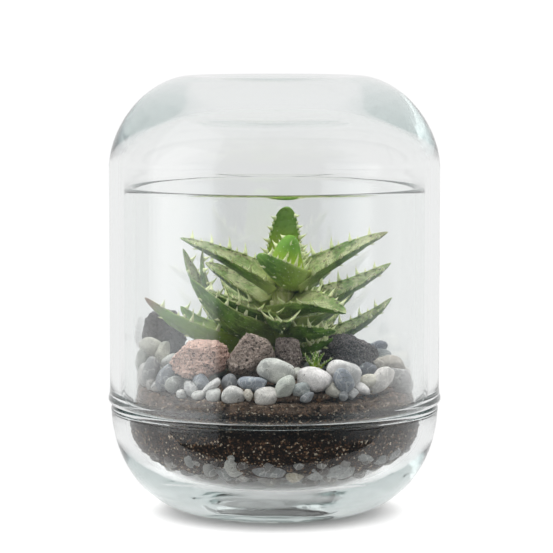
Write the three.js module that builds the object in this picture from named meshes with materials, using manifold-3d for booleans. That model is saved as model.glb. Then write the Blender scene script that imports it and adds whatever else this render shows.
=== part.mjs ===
// Glass plant terrarium: a thick glass bowl with a straight neck, a glass cover that stands on the
// bowl's shoulder, and a small toothed aloe in soil, among lava rocks and pebbles.
// Millimetres, +Z up, and the plant's front faces -Y. The origin is the middle of the flat foot,
// on the surface that the bowl stands on.

import * as THREE from 'three';
import { mergeVertices } from 'three/addons/utils/BufferGeometryUtils.js';
import Module from 'manifold-3d';

const wasm = await Module();
wasm.setup();

// Driving dimensions

const CLEARANCE = 0.3;
const GLASS_SIDES = 32;
const BED_SIDES = 18;

const BOWL = {
  footRadius: 30,
  radius: 69.5,
  widestHeight: 44.5,
  sideFullness: 2.2,
  footFullness: 1.9,
  shoulderHeight: 46,
  edge: 1.5,
};
const NECK = { radius: 63.8, wall: 4.2, rimHeight: 137.6, fillet: 2.5 };
const WELL = {
  floorHeight: 12,
  floorRadius: 32,
  floorFullness: 2,
  radius: 62.4,
  widestHeight: 39,
  sideFullness: 2.3,
  neckHeight: 52,
  bendBulge: 0.4,
};
const COVER = {
  radius: 70,
  wall: 4.3,
  bendHeight: 146.5,
  height: 185,
  crestRadius: 36,
  fullness: 1.8,
  dishDepth: 2.8,
  dishRadii: [10, 20, 28],
  ceilingHeight: 176.5,
  ceilingRadius: 30,
  ceilingBulge: 1.9,
  ceilingRadii: [24, 14],
  ceilingBendHeight: 140,
  rimRounding: 1.0,
};
const SOIL = { bottomHeight: 28, wallHeight: 52.5, mountHeight: 59.5, mountRadius: 30 };
const DRAIN = { coreHeight: 26.8, coreRadius: 51, coreFloorRadius: 30, coreLift: 0.6 };
const DRAIN_ROW = { radius: 57.5, count: 15, size: 5.6 };
// Drainage stones that show at the front, against the glass: how far across and how high each lies,
// its half sizes and its lean to the right in degrees
const DRAIN_STONES = [
  { across: -14.8, height: 32.2, half: [5, 3.4, 6.8], lean: 6 },
  { across: 25.3, height: 28, half: [6.6, 3.8, 6.2], lean: 20 },
  { across: 34.4, height: 31.6, half: [5.6, 3.8, 3.2], lean: 10 },
  { across: 40, height: 29.6, half: [3.6, 3.6, 4.4], lean: -20 },
  { across: 45, height: 31.2, half: [5.4, 3.8, 4.2], lean: -15 },
  { across: -24.2, height: 28, half: [3.2, 3.4, 4.2], lean: 20 },
  { across: -18.4, height: 27, half: [4.6, 4, 4.6], lean: -10 },
  { across: -2.2, height: 27, half: [6.2, 3.4, 3.6], lean: 12 },
  { across: 8.8, height: 25.4, half: [4.4, 3.4, 3.8], lean: 5 },
];
// How far such a stone stays off the wall, as a multiple of its own reach
const SEAT_MARGIN = 1.12;
const GRAVEL = { thickness: 2, radius: 54, backFrom: -8 };
const GRAVEL_ROWS = [
  { radius: 52.4, count: 25, size: 5.6 },
  { radius: 42, count: 15, size: 5.8 },
];
const BANK = { radius: 50.5, height: 63.5, half: [5.4, 4.6, 4.8], angles: [160, 125, 95, 60, 28] };

// How each kind of stone departs from a ball: its corners, its blockiness and its unevenness, with
// the first of its seeds.
const ROCK_SHAPE = { detail: 1, power: 2.9, roughness: 0.07, seed: 40 };
const LARGE_PEBBLE_SHAPE = { detail: 1, power: 2.2, roughness: 0.04, seed: 70 };
const PEBBLE_SHAPE = { detail: 0, power: 2.7, roughness: 0.08, seed: 200 };
const BUD_SHAPE = { detail: 0, power: 2, roughness: 0, seed: 3 };
const DRAIN_SEED = 11;
const GRAVEL_SEED = 5;

const STEM = { bottom: [0, 1, 48], middle: [1.2, 0.5, 76], top: [4.6, 0, 99], radius: 4.8 };

// Leaf section: depth of the keel as a share of the width, how far the upper face lies above the
// path as a share of that depth, how deep its hollow is as a share of the half width, and where the
// flanks bend. The rows are shares of the leaf's length.
const LEAF = {
  depthShare: 0.52,
  rise: 0.42,
  hollow: 0.3,
  flankWidth: 0.66,
  flankDepth: 0.6,
  rows: [0, 0.2, 0.42, 0.64, 0.82, 0.94],
};

// Teeth: length at the leaf's base and how much shorter it is at the tip, width and thickness as a
// share of it, how far the root is sunk, where the first and last stand, and the way they point.
const TOOTH = {
  length: 5,
  shortening: 3.2,
  width: 1.8,
  flatness: 0.4,
  sunk: 0.5,
  inset: 0.9,
  first: 0.2,
  last: 0.88,
  stagger: 0.03,
  points: { side: 0.62, up: 0.74, along: 0.12 },
};
const KEEL_TOOTH = { length: 1.8, every: 3, ahead: 0.05, sunk: 0.4, points: { up: -0.8, along: 0.4 } };
const OFFSET = {
  at: [16.4, -31, 60.4],
  radius: 2.6,
  height: 5,
  leaves: 7,
  reach: 9,
  leafWidth: 2.2,
  leafRoot: 1.5,
  leans: [0.95, 0.55],
};

const GLASS = { color: '#dfe9e6', roughness: 0.03, metalness: 0 };
const SOIL_BROWN = { color: '#3a2c22', roughness: 0.95, metalness: 0 };
const PEBBLE_GREY = { color: '#b9beb9', roughness: 0.6, metalness: 0 };
const LEAF_GREEN = { color: '#5c7a45', roughness: 0.5, metalness: 0 };
const HEART_GREEN = { color: '#7f9f2e', roughness: 0.5, metalness: 0 };
const STEM_GREEN = { color: '#a9b878', roughness: 0.6, metalness: 0 };

// Every leaf: where it leaves the stem, a point halfway along it, its tip, the way its hollow upper
// face looks, its width at the base, and how many teeth stand along each edge.
const LEAVES = [
  { name: 'heart_back', path: [[4.9, 3, 100.5], [4.3, 7, 114.6], [5.5, 4, 130.6]],
    face: [0, -1, 0.1], width: 15, teeth: 4, taper: 0.34 },
  { name: 'heart_front', path: [[5.6, -1, 99], [4.9, -4.5, 109.2], [6.7, -4, 118.4]],
    face: [0, 1, 0.1], width: 16, teeth: 3, taper: 0.5 },
  { name: 'front_cup', path: [[8.4, -3, 98.3], [1.9, -14, 103.1], [-7.7, -17, 112.5]],
    face: [0.3, 0.8, 0.6], width: 17, teeth: 4, taper: 0.5 },
  { name: 'upper_left', path: [[0, -2, 96.8], [-17.5, -5, 107.2], [-39.6, -8, 117.1]],
    face: [0.3, -0.38, 0.87], width: 16, teeth: 5, taper: 0.63 },
  { name: 'upper_right', path: [[8, -1, 96.8], [25.6, 0, 107.6], [48.1, -3, 119.3]],
    face: [-0.35, -0.42, 0.85], width: 17, teeth: 5, taper: 0.63 },
  { name: 'upper_back_left', path: [[-1.5, 3, 89.9], [-16.4, 9, 97.1], [-30.1, 11, 105]],
    face: [0.25, -0.55, 0.8], width: 16, teeth: 3, taper: 0.63 },
  { name: 'upper_back', path: [[4.5, 5, 95], [9, 22, 104], [12, 40, 108]],
    face: [0, -0.3, 0.95], width: 16, teeth: 3, taper: 0.63 },
  { name: 'upper_back_right', path: [[7, 4, 91], [15.2, 17, 95.5], [24.5, 31, 98.8]],
    face: [-0.2, -0.4, 0.9], width: 14.5, teeth: 3, taper: 0.63 },
  { name: 'middle_right', path: [[6.6, 1, 86.8], [29.5, 5, 93.6], [50.6, 6, 105.3]],
    face: [-0.3, -0.42, 0.88], width: 15.5, teeth: 5, taper: 0.63 },
  { name: 'middle_front_right', path: [[4.4, -5, 87.6], [16.4, -20, 90.5], [28.6, -33, 88]],
    face: [0.05, -0.45, 0.9], width: 17.5, teeth: 4, taper: 0.55 },
  { name: 'middle_front', path: [[1.5, -5, 82.9], [2.7, -24, 82.8], [4.7, -41, 85.2]],
    face: [0, 0.15, 1], width: 16, teeth: 4, taper: 0.59 },
  { name: 'middle_front_left', path: [[0, -4, 83.6], [-14, -17, 88.2], [-28.7, -24, 97.2]],
    face: [0.2, -0.12, 0.95], width: 17.5, teeth: 4, taper: 0.59 },
  { name: 'middle_left', path: [[-3.2, -2, 78.5], [-24.5, -10, 89.2], [-29.7, -14, 113.5]],
    face: [0.85, -0.1, 0.3], width: 11.5, teeth: 4, taper: 0.63 },
  { name: 'middle_back_left', path: [[-1, 4, 82], [-17, 22, 90], [-24, 37, 101]],
    face: [0.3, -0.4, 0.85], width: 16, teeth: 3, taper: 0.63 },
  { name: 'middle_back', path: [[2, 5, 78.5], [8, 25, 85], [8, 46, 96]],
    face: [0, -0.4, 0.9], width: 16, teeth: 3, taper: 0.63 },
  { name: 'middle_back_right', path: [[4.5, 4, 80], [24, 20, 84], [38, 31, 95]],
    face: [-0.3, -0.35, 0.9], width: 15.5, teeth: 3, taper: 0.63 },
  { name: 'lower_front_left', path: [[-2.4, -5, 74.5], [-19.7, -22, 84.3], [-34, -28, 101.9]],
    face: [0.35, 0.75, 0.55], width: 16, teeth: 4, taper: 0.59 },
  { name: 'lower_front_right', path: [[2.7, -5, 75.8], [13.9, -22, 78.6], [24.4, -35, 81]],
    face: [0.05, 0.25, 1], width: 15.5, teeth: 4, taper: 0.5 },
  { name: 'lower_left', path: [[-3.6, 1, 71], [-25.5, -2, 86.7], [-38.7, -4, 112.3]],
    face: [0.65, -0.6, 0.45], width: 16, teeth: 5, taper: 0.63 },
  { name: 'lower_right', path: [[4.6, 2, 70], [30.4, 7, 75.8], [51.4, 8, 90.3]],
    face: [-0.35, -0.3, 0.9], width: 15.5, teeth: 5, taper: 0.63 },
  { name: 'low_far_left', path: [[-4, -2, 69.6], [-31.1, -14, 77.1], [-52.7, -18, 93]],
    face: [0.35, 0.5, 0.8], width: 13.5, teeth: 4, taper: 0.59 },
  { name: 'low_left', path: [[-4, 2, 68.4], [-28, 0, 77], [-40, -1, 87.5]],
    face: [0.4, -0.6, 0.7], width: 11.5, teeth: 3, taper: 0.59 },
  { name: 'low_back_left', path: [[-2, 5, 69.5], [-19, 24, 74], [-33, 37, 84]],
    face: [0.3, -0.35, 0.9], width: 15, teeth: 3, taper: 0.63 },
  { name: 'low_back_right', path: [[4, 5, 70.5], [19, 24, 74], [30, 39, 83]],
    face: [-0.25, -0.35, 0.9], width: 15, teeth: 3, taper: 0.63 },
  { name: 'low_front', path: [[3.6, -4.5, 69.3], [13.5, -17, 70.9], [23.8, -26, 77]],
    face: [-0.2, 0.1, 1], width: 11.5, teeth: 4, taper: 0.5 },
];

// Lava rocks and the large pebbles that show: centre, half sizes, turn about each axis in degrees.
const LAVA_ROCKS = [
  { name: 'red', at: [-29.8, -33, 69.5], half: [10.9, 8.8, 7.6], turn: [8, -6, 20], color: '#a26d5c' },
  { name: 'brown', at: [-9.2, -34, 70.7], half: [9.8, 8.6, 9.4], turn: [-10, 30, 10], color: '#7b6a62' },
  { name: 'dark', at: [5.4, -27.5, 70.6], half: [6, 6, 7], turn: [5, -12, 40], color: '#544d4b' },
  { name: 'black_right', at: [31.5, -14, 68.4], half: [12, 9.5, 7.8], turn: [0, 10, -15], color: '#3b3739' },
  { name: 'black_left', at: [-46.6, 9, 75], half: [10.2, 9, 8.2], turn: [0, 24, 30], color: '#3b3b3f' },
];
const LARGE_PEBBLES = [
  { name: 'front_pale', at: [0.8, -45, 65.7], half: [7.3, 5.2, 4.8], turn: [0, 12, 0] },
  { name: 'front_white', at: [15.8, -46.5, 61.8], half: [7.3, 5.4, 5.1], turn: [0, 18, 0] },
  { name: 'front_round', at: [27.6, -40, 64], half: [6.8, 5, 5], turn: [0, 22, 0] },
  { name: 'front_blue', at: [27, -48.3, 62], half: [3.6, 3, 5.2], turn: [0, -28, 0] },
  { name: 'slate', at: [36.8, -32, 63.8], half: [4.4, 3.2, 3.8], turn: [0, -38, 0] },
  { name: 'right_tan', at: [47.2, -15.5, 64.4], half: [7.3, 5.8, 3.9], turn: [0, 6, 20] },
  { name: 'right_white', at: [41.6, -34, 60.3], half: [7.2, 3.8, 3.6], turn: [0, -44, 18] },
  { name: 'right_grey', at: [50, -20.6, 57.6], half: [5.2, 4.4, 7], turn: [0, -12, 25] },
  { name: 'right_back_flat', at: [45.4, 18, 67.8], half: [5, 4.6, 2.4], turn: [0, -10, 0] },
  { name: 'right_back_blue', at: [46.9, 6.5, 65], half: [4.4, 4.4, 3.3], turn: [0, 14, 0] },
  { name: 'left_wedge', at: [-51.8, -9, 71], half: [5.6, 4, 4], turn: [0, 24, 0] },
  { name: 'left_upright', at: [-45.8, -18.6, 69.8], half: [2.8, 3.2, 4.8], turn: [0, 24, 0] },
  { name: 'left_tall', at: [-49.4, -24, 63], half: [3, 3.8, 5.8], turn: [0, 6, 0] },
  { name: 'left_second', at: [-43.2, -33, 61.4], half: [3, 3.8, 5.6], turn: [0, 20, 0] },
  { name: 'left_leaning', at: [-41.5, -24, 67], half: [4.6, 3.2, 2.9], turn: [0, -34, 0] },
  { name: 'left_behind', at: [-40.6, -29, 63], half: [2.8, 3.4, 4.6], turn: [0, 16, 0] },
];

// Pebbles against the front of the neck: centre, half sizes, lean to the right in degrees.
const FRONT_PEBBLES = [
  { at: [-54.8, -11.6, 64.8], half: [3.4, 5, 5.8], lean: -8 },
  { at: [-52.8, -17, 60], half: [3.2, 4.2, 5.6], lean: 0 },
  { at: [-49.2, -25, 57.6], half: [2, 2.6, 3.8], lean: 4 },
  { at: [-46, -30.4, 57], half: [2.7, 3, 2.7], lean: 30 },
  { at: [-39.3, -36.8, 59], half: [3.9, 3.9, 3.8], lean: 0 },
  { at: [-32.9, -42.5, 58.2], half: [2.7, 3.2, 3.8], lean: -12 },
  { at: [-36.3, -43.5, 56], half: [2, 2, 2], lean: 0 },
  { at: [-28.7, -40.5, 60.8], half: [3.6, 3.6, 3.8], lean: 0 },
  { at: [-29.4, -46.6, 55.8], half: [3.4, 2.8, 2], lean: 0 },
  { at: [-24.3, -47, 60], half: [5, 2.4, 1.9], lean: -38 },
  { at: [-23.7, -49, 56], half: [3.3, 3.6, 3.4], lean: -30 },
  { at: [-17.8, -44, 60.6], half: [3.4, 3.4, 3.8], lean: 0 },
  { at: [-16.1, -51.6, 56], half: [4.7, 4.3, 4.7], lean: 0 },
  { at: [-10, -53.2, 56.8], half: [2, 2.4, 2.8], lean: -12 },
  { at: [-8.1, -48.6, 60.8], half: [6.6, 3.8, 3.2], lean: 8 },
  { at: [-3.6, -52.6, 56.2], half: [5, 4.6, 4.6], lean: -20 },
  { at: [4.1, -52.4, 59.8], half: [3.6, 3.4, 5.5], lean: 28 },
  { at: [10.7, -51.2, 58.2], half: [4, 3.6, 3.7], lean: 24 },
  { at: [12.9, -54, 56], half: [3.2, 2, 1.9], lean: -24 },
  { at: [23.3, -48, 58], half: [3.4, 3, 3.2], lean: 0 },
  { at: [30.6, -45.6, 56.4], half: [2.6, 2.8, 2.7], lean: 0 },
  { at: [26.8, -49.4, 56], half: [1.9, 2, 2.2], lean: 0 },
  { at: [34, -41.4, 57.8], half: [4, 2.8, 2.6], lean: 38 },
  { at: [37.2, -36, 60], half: [4, 3.4, 3.2], lean: -24 },
  { at: [55.6, -8, 58.6], half: [2.6, 3.6, 4.4], lean: 0 },
];

// Seeded random numbers between low and high

function randomSource(seed) {
  let state = seed;
  return (low, high) => {
    state = (state + 0x6d2b79f5) | 0;
    let mixed = Math.imul(state ^ (state >>> 15), 1 | state);
    mixed = (mixed + Math.imul(mixed ^ (mixed >>> 7), 61 | mixed)) ^ mixed;
    const unit = ((mixed ^ (mixed >>> 14)) >>> 0) / 4294967296;
    return low + (high - low) * unit;
  };
}

// Closed solids, and meshes made from them

function solidFrom(geometry) {
  const bare = geometry.clone();
  bare.deleteAttribute('normal');
  bare.deleteAttribute('uv');
  const merged = mergeVertices(bare, 1e-4);
  return new wasm.Manifold(new wasm.Mesh({
    numProp: 3,
    vertProperties: new Float32Array(merged.attributes.position.array),
    triVerts: new Uint32Array(merged.index.array),
  }));
}

function largestBody(solid) {
  const bodies = solid.decompose();
  bodies.sort((one, other) => other.volume() - one.volume());
  return bodies[0];
}

function geometryFrom(solid) {
  const { vertProperties, triVerts } = solid.getMesh();
  const geometry = new THREE.BufferGeometry();
  geometry.setAttribute('position', new THREE.BufferAttribute(new Float32Array(vertProperties), 3));
  geometry.setIndex(new THREE.BufferAttribute(new Uint32Array(triVerts), 1));
  geometry.computeVertexNormals();
  return geometry;
}

const terrarium = new THREE.Group();

function addPart(name, solid, finish, tolerance = 0.05) {
  const tidySolid = largestBody(solid.simplify(tolerance));
  const mesh = new THREE.Mesh(geometryFrom(tidySolid), new THREE.MeshStandardMaterial(finish));
  mesh.name = name;
  terrarium.add(mesh);
  return tidySolid;
}

function unionOf(solids) {
  return wasm.Manifold.union(solids);
}

// Profiles of the two glasses: points [radius, height] of a quarter of a superellipse, from its
// side at sideHeight to its end at endHeight

function superQuarter(endRadius, sideRadius, endHeight, sideHeight, endPower, sidePower, steps) {
  const points = [];
  for (let step = 0; step <= steps; step += 1) {
    const angle = (Math.PI / 2) * (step / steps);
    const across = Math.cos(angle) ** (2 / sidePower);
    const along = Math.sin(angle) ** (2 / endPower);
    points.push([
      endRadius + (sideRadius - endRadius) * across,
      sideHeight + (endHeight - sideHeight) * along,
    ]);
  }
  return points;
}

function arcPoints(centreRadius, centreHeight, radius, startDegrees, endDegrees, steps) {
  const points = [];
  for (let step = 0; step <= steps; step += 1) {
    const angle = THREE.MathUtils.degToRad(startDegrees + (endDegrees - startDegrees) * (step / steps));
    points.push([centreRadius + radius * Math.cos(angle), centreHeight + radius * Math.sin(angle)]);
  }
  return points;
}

function latheSolid(profile, sides = GLASS_SIDES) {
  const points = profile.map(([radius, height]) => new THREE.Vector2(radius, height));
  const lathe = new THREE.LatheGeometry(points, sides);
  lathe.rotateX(Math.PI / 2);
  return solidFrom(lathe);
}

// The well is the hollow inside the bowl and its neck, from the floor's middle up to the height given
function wellProfile(topHeight, inset) {
  const neckRadius = NECK.radius - NECK.wall;
  const cup = superQuarter(
    WELL.floorRadius, WELL.radius, WELL.floorHeight, WELL.widestHeight,
    WELL.floorFullness, WELL.sideFullness, 6,
  ).reverse();
  const bendRadius = (WELL.radius + neckRadius) / 2 + WELL.bendBulge;
  const bend = [[bendRadius, (WELL.widestHeight + WELL.neckHeight) / 2]];
  return [[0, WELL.floorHeight], ...cup, ...bend, [neckRadius, WELL.neckHeight], [neckRadius, topHeight]]
    .map(([radius, height]) => [Math.max(radius - inset, 0), Math.min(height + inset, topHeight)]);
}

// Where an outline, given from the middle outwards or from low to high, crosses a radius or a height
function crossing(outline, known, wanted, value) {
  const after = outline.findIndex((point, index) => index > 0
    && (point[known] - value) * (outline[index - 1][known] - value) <= 0);
  const [start, end] = [outline[after - 1], outline[after]];
  const share = (value - start[known]) / (end[known] - start[known]);
  return start[wanted] + share * (end[wanted] - start[wanted]);
}

function heightAt(outline, radius) {
  return crossing(outline, 0, 1, radius);
}

function radiusAt(outline, height) {
  return crossing(outline, 1, 0, height);
}

// Glass bowl with its neck

const neckInside = NECK.radius - NECK.wall;
const lipRadius = NECK.wall / 2;
const bowlOutside = superQuarter(
  BOWL.footRadius, BOWL.radius, 0, BOWL.widestHeight, BOWL.footFullness, BOWL.sideFullness, 8,
).reverse();
const bowlProfile = [
  [0, 0],
  ...bowlOutside,
  [BOWL.radius - BOWL.edge / 3, BOWL.shoulderHeight - BOWL.edge / 4],
  [BOWL.radius - BOWL.edge, BOWL.shoulderHeight],
  ...arcPoints(NECK.radius + NECK.fillet, BOWL.shoulderHeight + NECK.fillet, NECK.fillet, 270, 180, 2),
  ...arcPoints(NECK.radius - lipRadius, NECK.rimHeight - lipRadius, lipRadius, 0, 180, 4),
  ...wellProfile(NECK.rimHeight - lipRadius, 0).slice(1, -1).reverse(),
  [0, WELL.floorHeight],
];
addPart('glass_bowl', latheSolid(bowlProfile), GLASS);

// Glass cover: open below, closed above by a thick, slightly dished top

const coverInside = COVER.radius - COVER.wall;
const coverBottom = BOWL.shoulderHeight + CLEARANCE;
const dish = COVER.dishRadii.map((radius) => [
  radius,
  COVER.height - (COVER.dishDepth * (1 + Math.cos((Math.PI * radius) / COVER.crestRadius))) / 2,
]);
const ceiling = COVER.ceilingRadii.map((radius) => [
  radius,
  COVER.ceilingHeight
    - (COVER.ceilingBulge * (1 + Math.cos((Math.PI * radius) / COVER.ceilingRadius))) / 2,
]);
const coverProfile = [
  [0, COVER.height - COVER.dishDepth],
  ...dish,
  ...superQuarter(
    COVER.crestRadius, COVER.radius, COVER.height, COVER.bendHeight, COVER.fullness, COVER.fullness, 9,
  ).reverse(),
  [COVER.radius, coverBottom + COVER.rimRounding],
  [COVER.radius - COVER.rimRounding, coverBottom],
  [coverInside + COVER.rimRounding, coverBottom],
  [coverInside, coverBottom + COVER.rimRounding],
  ...superQuarter(
    COVER.ceilingRadius, coverInside, COVER.ceilingHeight, COVER.ceilingBendHeight,
    COVER.fullness, COVER.fullness, 7,
  ),
  ...ceiling,
  [0, COVER.ceilingHeight - COVER.ceilingBulge],
];
addPart('glass_cover', latheSolid(coverProfile.reverse()), GLASS);

// Stones: a many-sided ball, blockier with a higher power, with each corner pushed in or out and
// stretched to its half sizes

function stoneSolid({ at, half, turn }, { detail, power, roughness, seed }, grow = 0) {
  const random = randomSource(seed);
  const ball = new THREE.IcosahedronGeometry(1, detail);
  ball.deleteAttribute('normal');
  ball.deleteAttribute('uv');
  const merged = mergeVertices(ball, 1e-4);
  const corners = merged.attributes.position;
  for (let index = 0; index < corners.count; index += 1) {
    const spread = Math.abs(corners.getX(index)) ** power + Math.abs(corners.getY(index)) ** power
      + Math.abs(corners.getZ(index)) ** power;
    const push = (1 + random(-roughness, roughness)) / spread ** (1 / power);
    corners.setXYZ(
      index,
      corners.getX(index) * push * (half[0] + grow),
      corners.getY(index) * push * (half[1] + grow),
      corners.getZ(index) * push * (half[2] + grow),
    );
  }
  const [aboutX, aboutY, aboutZ] = turn.map(THREE.MathUtils.degToRad);
  merged.applyMatrix4(new THREE.Matrix4().makeRotationFromEuler(new THREE.Euler(aboutX, aboutY, aboutZ)));
  merged.translate(...at);
  return solidFrom(merged);
}

function rockSolid(rock, index, grow = 0) {
  return stoneSolid(rock, { ...ROCK_SHAPE, seed: ROCK_SHAPE.seed + index }, grow);
}

function largePebbleSolid(pebble, index, grow = 0) {
  return stoneSolid(pebble, { ...LARGE_PEBBLE_SHAPE, seed: LARGE_PEBBLE_SHAPE.seed + index }, grow);
}

// Lava rocks come first, then the large pebbles, each clear of those before it
const stonesInPlace = [];
LAVA_ROCKS.forEach((rock, index) => {
  const solid = stonesInPlace.length
    ? rockSolid(rock, index).subtract(unionOf(stonesInPlace))
    : rockSolid(rock, index);
  addPart(`lava_rock_${rock.name}`, solid, { color: rock.color, roughness: 0.95, metalness: 0 });
  stonesInPlace.push(rockSolid(rock, index, CLEARANCE));
});
LARGE_PEBBLES.forEach((pebble, index) => {
  const solid = largePebbleSolid(pebble, index).subtract(unionOf(stonesInPlace));
  addPart(`pebble_${pebble.name}`, solid, PEBBLE_GREY);
  stonesInPlace.push(largePebbleSolid(pebble, index, CLEARANCE));
});

// A ring of pebbles that lie on a floor, given as an outline, none of them reaching below it
function pebbleRing(random, { radius, count, size, floor }) {
  const slope = (heightAt(floor, radius + 1) - heightAt(floor, radius - 1)) / 2;
  const steepness = Math.hypot(slope, 1);
  const ring = [];
  for (let index = 0; index < count; index += 1) {
    const angle = ((index + random(-0.15, 0.15)) / count) * 2 * Math.PI + radius;
    const scale = size * random(0.85, 1);
    const reach = scale * (1 + PEBBLE_SHAPE.roughness);
    const out = radius - (slope / steepness) * reach;
    ring.push({
      at: [out * Math.cos(angle), out * Math.sin(angle), heightAt(floor, radius) + reach / steepness],
      half: [scale, scale, scale * 0.85],
      turn: [random(-25, 25), random(-25, 25), random(0, 180)],
    });
  }
  return ring;
}

function roughPebble(pebble, index, grow = 0) {
  return stoneSolid(pebble, { ...PEBBLE_SHAPE, seed: PEBBLE_SHAPE.seed + index }, grow);
}

// Drainage pebbles: a ring round a low core, on the bowl's floor and up to the soil, with larger
// stones against the glass at the front

const wellWall = wellProfile(NECK.rimHeight, CLEARANCE + 0.2);
const drainTop = SOIL.bottomHeight - CLEARANCE;
const drainRandom = randomSource(DRAIN_SEED);
const drainPebbles = pebbleRing(drainRandom, { ...DRAIN_ROW, floor: wellWall });
const drainCore = latheSolid([
  [0, heightAt(wellWall, 0)],
  [DRAIN.coreFloorRadius, heightAt(wellWall, DRAIN.coreFloorRadius)],
  [DRAIN.coreRadius, heightAt(wellWall, DRAIN.coreRadius) + DRAIN.coreLift],
  [DRAIN.coreRadius, DRAIN.coreHeight],
  [0, DRAIN.coreHeight],
], BED_SIDES);

// A stone that lies against the front of the wall and touches it along the wall's own slope
function seatedStone({ across, height, half, lean }) {
  const spread = (radiusAt(wellWall, height + 1) - radiusAt(wellWall, height - 1)) / 2;
  const steepness = Math.hypot(spread, 1);
  const reach = SEAT_MARGIN * Math.hypot(half[1], half[2] * spread);
  const out = radiusAt(wellWall, height) - reach;
  const depth = -Math.sqrt(out ** 2 - across ** 2);
  const facing = THREE.MathUtils.radToDeg(Math.atan2(across, -depth));
  return { at: [across, depth, height], half, turn: [0, lean / steepness, facing] };
}

const drainBody = unionOf([drainCore, ...drainPebbles.map((pebble, index) => roughPebble(pebble, index))]);
const drainFront = DRAIN_STONES.map(seatedStone);
const drainStones = unionOf(drainFront.map((stone, index) => roughPebble(stone, index)));
const drainHollows = unionOf(drainFront.map((stone, index) => roughPebble(stone, index, CLEARANCE)));
const drainage = drainBody.trimByPlane([0, 0, -1], -drainTop).add(drainStones);
addPart('drainage_pebbles', drainage, PEBBLE_GREY, 0.3);

// Stem of the aloe, standing in a plain hole in the gravel and the soil

function stemSolid(grow = 0) {
  const [bottom, middle, top] = [STEM.bottom, STEM.middle, STEM.top]
    .map((point) => new THREE.Vector3(...point));
  const section = new THREE.Shape();
  section.absarc(0, 0, STEM.radius + grow, 0, 2 * Math.PI, false);
  const stem = new THREE.ExtrudeGeometry(section, {
    steps: 4,
    curveSegments: 4,
    bevelEnabled: false,
    extrudePath: new THREE.CatmullRomCurve3([bottom, middle, top]),
  });
  return solidFrom(stem);
}
addPart('aloe_stem', stemSolid(), STEM_GREEN);
const stemHole = stemSolid(CLEARANCE);

// A tooth is a slim three-sided spike with its root sunk into the blade
function toothSolid(root, direction, along, length, width, grow) {
  const base = root.clone().addScaledVector(direction, -TOOTH.sunk - grow);
  const tip = root.clone().addScaledVector(direction, length + 2 * grow);
  const across = new THREE.Vector3().crossVectors(direction, along).normalize();
  const half = width / 2 + grow;
  const corners = [
    base.clone().addScaledVector(along, -half),
    base.clone().addScaledVector(along, half).addScaledVector(across, half * TOOTH.flatness),
    base.clone().addScaledVector(along, half).addScaledVector(across, -half * TOOTH.flatness),
    tip,
  ];
  const geometry = new THREE.BufferGeometry();
  geometry.setAttribute('position', new THREE.Float32BufferAttribute(
    corners.flatMap((corner) => [corner.x, corner.y, corner.z]), 3,
  ));
  geometry.setIndex([0, 1, 2, 0, 3, 1, 1, 3, 2, 2, 3, 0]);
  const volumeSign = corners[1].clone().sub(corners[0])
    .cross(corners[2].clone().sub(corners[0]))
    .dot(tip.clone().sub(corners[0]));
  if (volumeSign > 0) geometry.setIndex([0, 2, 1, 0, 1, 3, 1, 2, 3, 2, 0, 3]);
  return solidFrom(geometry);
}

// Young offset of the aloe beside the rocks: a small bud with a tuft of narrow leaves

function offsetSolid(grow = 0) {
  const bud = stoneSolid(
    { at: OFFSET.at, half: [OFFSET.radius, OFFSET.radius, OFFSET.height], turn: [0, 0, 0] },
    BUD_SHAPE,
    grow,
  );
  const crown = new THREE.Vector3(...OFFSET.at);
  const pieces = [bud];
  for (let index = 0; index < OFFSET.leaves; index += 1) {
    const angle = (index / OFFSET.leaves) * 2 * Math.PI;
    const lean = OFFSET.leans[index % 2];
    const direction = new THREE.Vector3(lean * Math.cos(angle), lean * Math.sin(angle), 1).normalize();
    const around = new THREE.Vector3(-Math.sin(angle), Math.cos(angle), 0);
    const root = crown.clone().addScaledVector(direction, OFFSET.leafRoot);
    pieces.push(toothSolid(root, direction, around, OFFSET.reach, OFFSET.leafWidth, grow));
  }
  return unionOf(pieces);
}

// Soil, from the drainage pebbles up to the gravel, lower at the glass than round the plant

const soilSlope = [
  [neckInside, SOIL.wallHeight],
  [SOIL.mountRadius, SOIL.mountHeight],
  [0, SOIL.mountHeight + 0.6],
];
const soilSide = wellProfile(SOIL.wallHeight, CLEARANCE + 0.1)
  .filter(([, height]) => height > SOIL.bottomHeight + 1);
const soilBlank = latheSolid([
  [0, SOIL.bottomHeight],
  [radiusAt(wellWall, SOIL.bottomHeight), SOIL.bottomHeight],
  ...soilSide,
  ...soilSlope.slice(1),
]);
const sunkStones = unionOf([...stonesInPlace, stemHole, offsetSolid(CLEARANCE)]);
const frontPebbles = FRONT_PEBBLES.map(({ at, half, lean }) => ({ at, half, turn: [0, lean, 0] }));
const frontHollows = unionOf(frontPebbles.map((pebble, index) => roughPebble(pebble, index, CLEARANCE)));
addPart('aloe_offset', offsetSolid().subtract(unionOf([...stonesInPlace, frontHollows])), LEAF_GREEN);
const soil = soilBlank.subtract(sunkStones).subtract(unionOf([frontHollows, drainHollows]));
addPart('potting_soil', soil, SOIL_BROWN, 0.2);

// Pebbles that cover the soil: those at the front, then rows of them behind, out of a thin gravel
// bed that follows the soil

const gravelFloor = soilSlope.map(([radius, height]) => [radius, height + CLEARANCE + 0.1]);
const bedBottom = [GRAVEL.radius, SOIL.mountRadius, 0]
  .map((radius) => [radius, heightAt(gravelFloor, radius)]);
const bedTop = bedBottom.map(([radius, height]) => [radius, height + GRAVEL.thickness]);
const gravelBed = latheSolid([...bedBottom.slice().reverse(), ...bedTop], BED_SIDES);
const gravelRandom = randomSource(GRAVEL_SEED);
const backRows = GRAVEL_ROWS.flatMap((row) => pebbleRing(gravelRandom, { ...row, floor: gravelFloor }))
  .filter(({ at }) => at[1] > GRAVEL.backFrom);
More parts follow.
